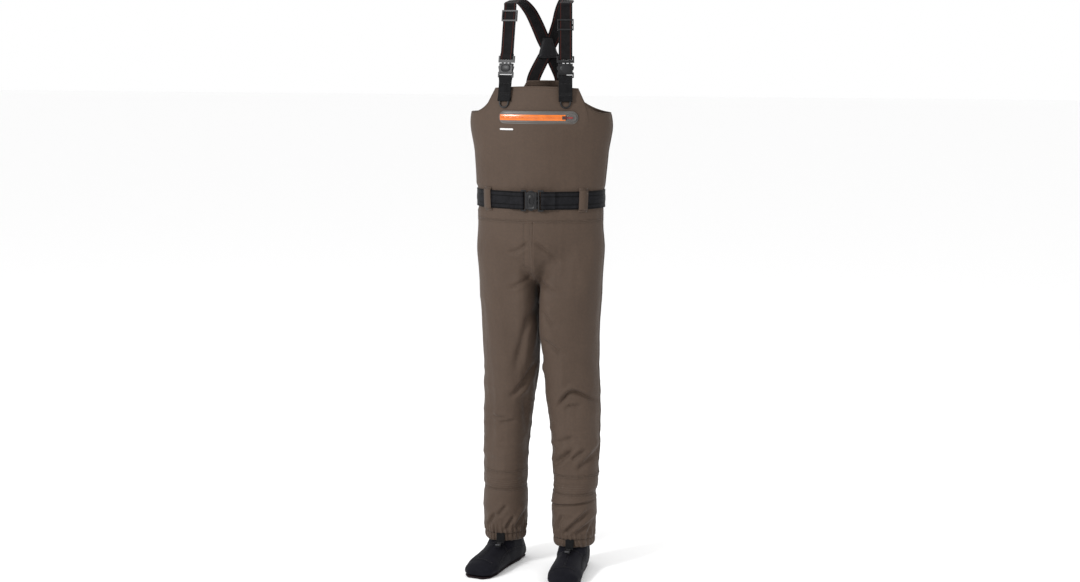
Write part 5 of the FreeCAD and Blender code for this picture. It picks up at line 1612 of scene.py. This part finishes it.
for sign, word in ((1, "upper"), (-1, "lower")):
    path = [(0.0848, 0.0, 0.0061), (0.0856, sign * 0.0012, 0.0062), (0.0880, sign * 0.0020, 0.0063),
            (0.0930, sign * 0.0019, 0.0064), (0.0968, sign * 0.0012, 0.0065)]
    line = smooth_line([tuple(on_chest(x, ZIP_Z + up, out)) for x, up, out in path], 40)
    thread = [(0.00075 * math.cos(t), 0.00075 * math.sin(t)) for t in np.linspace(0, 2 * math.pi, 11)[:-1]]
    mesh = swept(f"zipper_puller_{word}_cord", line, np.tile([[0, 0, -1.0]], (40, 1)), thread)
    piece(f"zipper_puller_{word}_cord", mesh, PULLER_CORD, "zip_puller")
grip = [(0.0955, 0.0066, 0.0004, 0.0003), (0.0956, 0.0066, 0.0024, 0.0009)]
for k in range(19):
    x = 0.0962 + 0.0108 * k / 18
    rib = 0.00022 * math.cos(k * math.pi)
    wide = 0.0030 - 0.0006 * abs(k / 9 - 1) ** 2
    grip.append((x, 0.0067, wide + rib, 0.0012 + rib * 0.6))
grip += [(0.1074, 0.0067, 0.0022, 0.0008), (0.1076, 0.0067, 0.0005, 0.0003)]
chest_lofted("zipper_puller_grip", grip, PULLER_CORD, "zip_puller", "puller_cord", ("zipper_puller",))
label_low, label_high = -0.098, -0.058
LABEL_Z = 1.262
label_rings = []
for inset, out in ((0.0, -0.0004), (0.0002, 0.0007), (0.0012, 0.0009), (0.0020, 0.0009), (0.00249, 0.0009)):
    flat = stadium(label_low, label_high, 0.0025, inset, 96)
    label_rings.append([torso_point(angle_at(x, LABEL_Z + up), LABEL_Z + up, out)[0] for x, up in flat])
piece("chest_label_print", grid_mesh("chest_label_print", np.array(label_rings), closed=True), PRINT,
      "garment",
      ("chest_label",))
# the bag inside: two layers of light lining joined round their edge, hung from the zip
bag_rows, bag_columns = 46, 60
bag_x = np.linspace(-0.100, 0.092, bag_columns)
bag_z = np.linspace(1.303, 1.148, bag_rows)
grid_x, grid_z = np.meshgrid(bag_x, bag_z)
edge = np.minimum(np.minimum(grid_x + 0.100, 0.092 - grid_x), grid_z - 1.148)
round_low = ease(edge, 0.0, 0.022)
for word, gap in (("front", -0.0042), ("rear", -0.0098)):
    depth = -0.0062 + (gap + 0.0062) * round_low - 0.0010 * swell(np.stack([grid_x, grid_z, grid_z], -1),
                                                                  (18, 9, 9), 81)
    bag = on_chest(grid_x, grid_z, depth)
    obj = piece(f"pocket_bag_{word}_layer", grid_mesh(f"pocket_bag_{word}_layer", bag), POCKET_LINING,
                "garment",
                ("pocket_bag",))
    declare(bag)


# ---------------------------------------------------------------- patches where the braces cross
PATCH_OUTLINE = [(-0.0280, 1.4545), (-0.0262, 1.4650), (-0.0240, 1.4740), (-0.0190, 1.4920),
                 (-0.0136, 1.5095),
                 (-0.0120, 1.5110), (0.0, 1.5112), (0.0120, 1.5110), (0.0136, 1.5095), (0.0190, 1.4920),
                 (0.0240, 1.4740), (0.0262, 1.4650), (0.0280, 1.4545), (0.0265, 1.4538), (0.0, 1.4536),
                 (-0.0265, 1.4538)]


def patch(name, y, sign, node):
    """A smooth leather-like patch with a rolled edge and a stitched border; sign is the way that it faces."""
    outline = smooth_line([(x, 0.0, z) for x, z in PATCH_OUTLINE], 97, closed=True)[:-1]
    middle = np.array([0.0, 0.0, 1.4800])
    grid = []
    for share, rise in ((1.0, -0.0009), (1.0, 0.0003), (0.985, 0.0009), (0.95, 0.0011), (0.91, 0.0009),
                        (0.88, 0.0009),
                        (0.84, 0.0012), (0.60, 0.0017), (0.30, 0.0020), (0.01, 0.0021)):
        ring = middle + (outline - middle) * share
        ring[:, 1] = AXIS_Y + y + sign * rise
        grid.append(ring)
    mesh = grid_mesh(name, np.stack(grid), flip=sign < 0, closed=True)
    obj = piece(name, mesh, PATCH, "garment", (node,))
    line = middle + (outline - middle) * 0.895
    line[:, 1] = AXIS_Y + y + sign * 0.0009
    rows = [(line, np.tile([[0, sign, 0]], (len(line), 1)).astype(float))]
    stitches(f"{name}_stitching", rows, DARK_THREAD, "garment", pitch=0.0030)
    return obj


patch("cross_patch_outer_leather", 0.1032, 1, "cross_patch_outer")
patch("cross_patch_inner_leather", 0.0928, -1, "cross_patch_inner")


for name, grid in panels:
    declare(grid)
stitches("seam_stitching", seam_rows, THREAD, "garment")
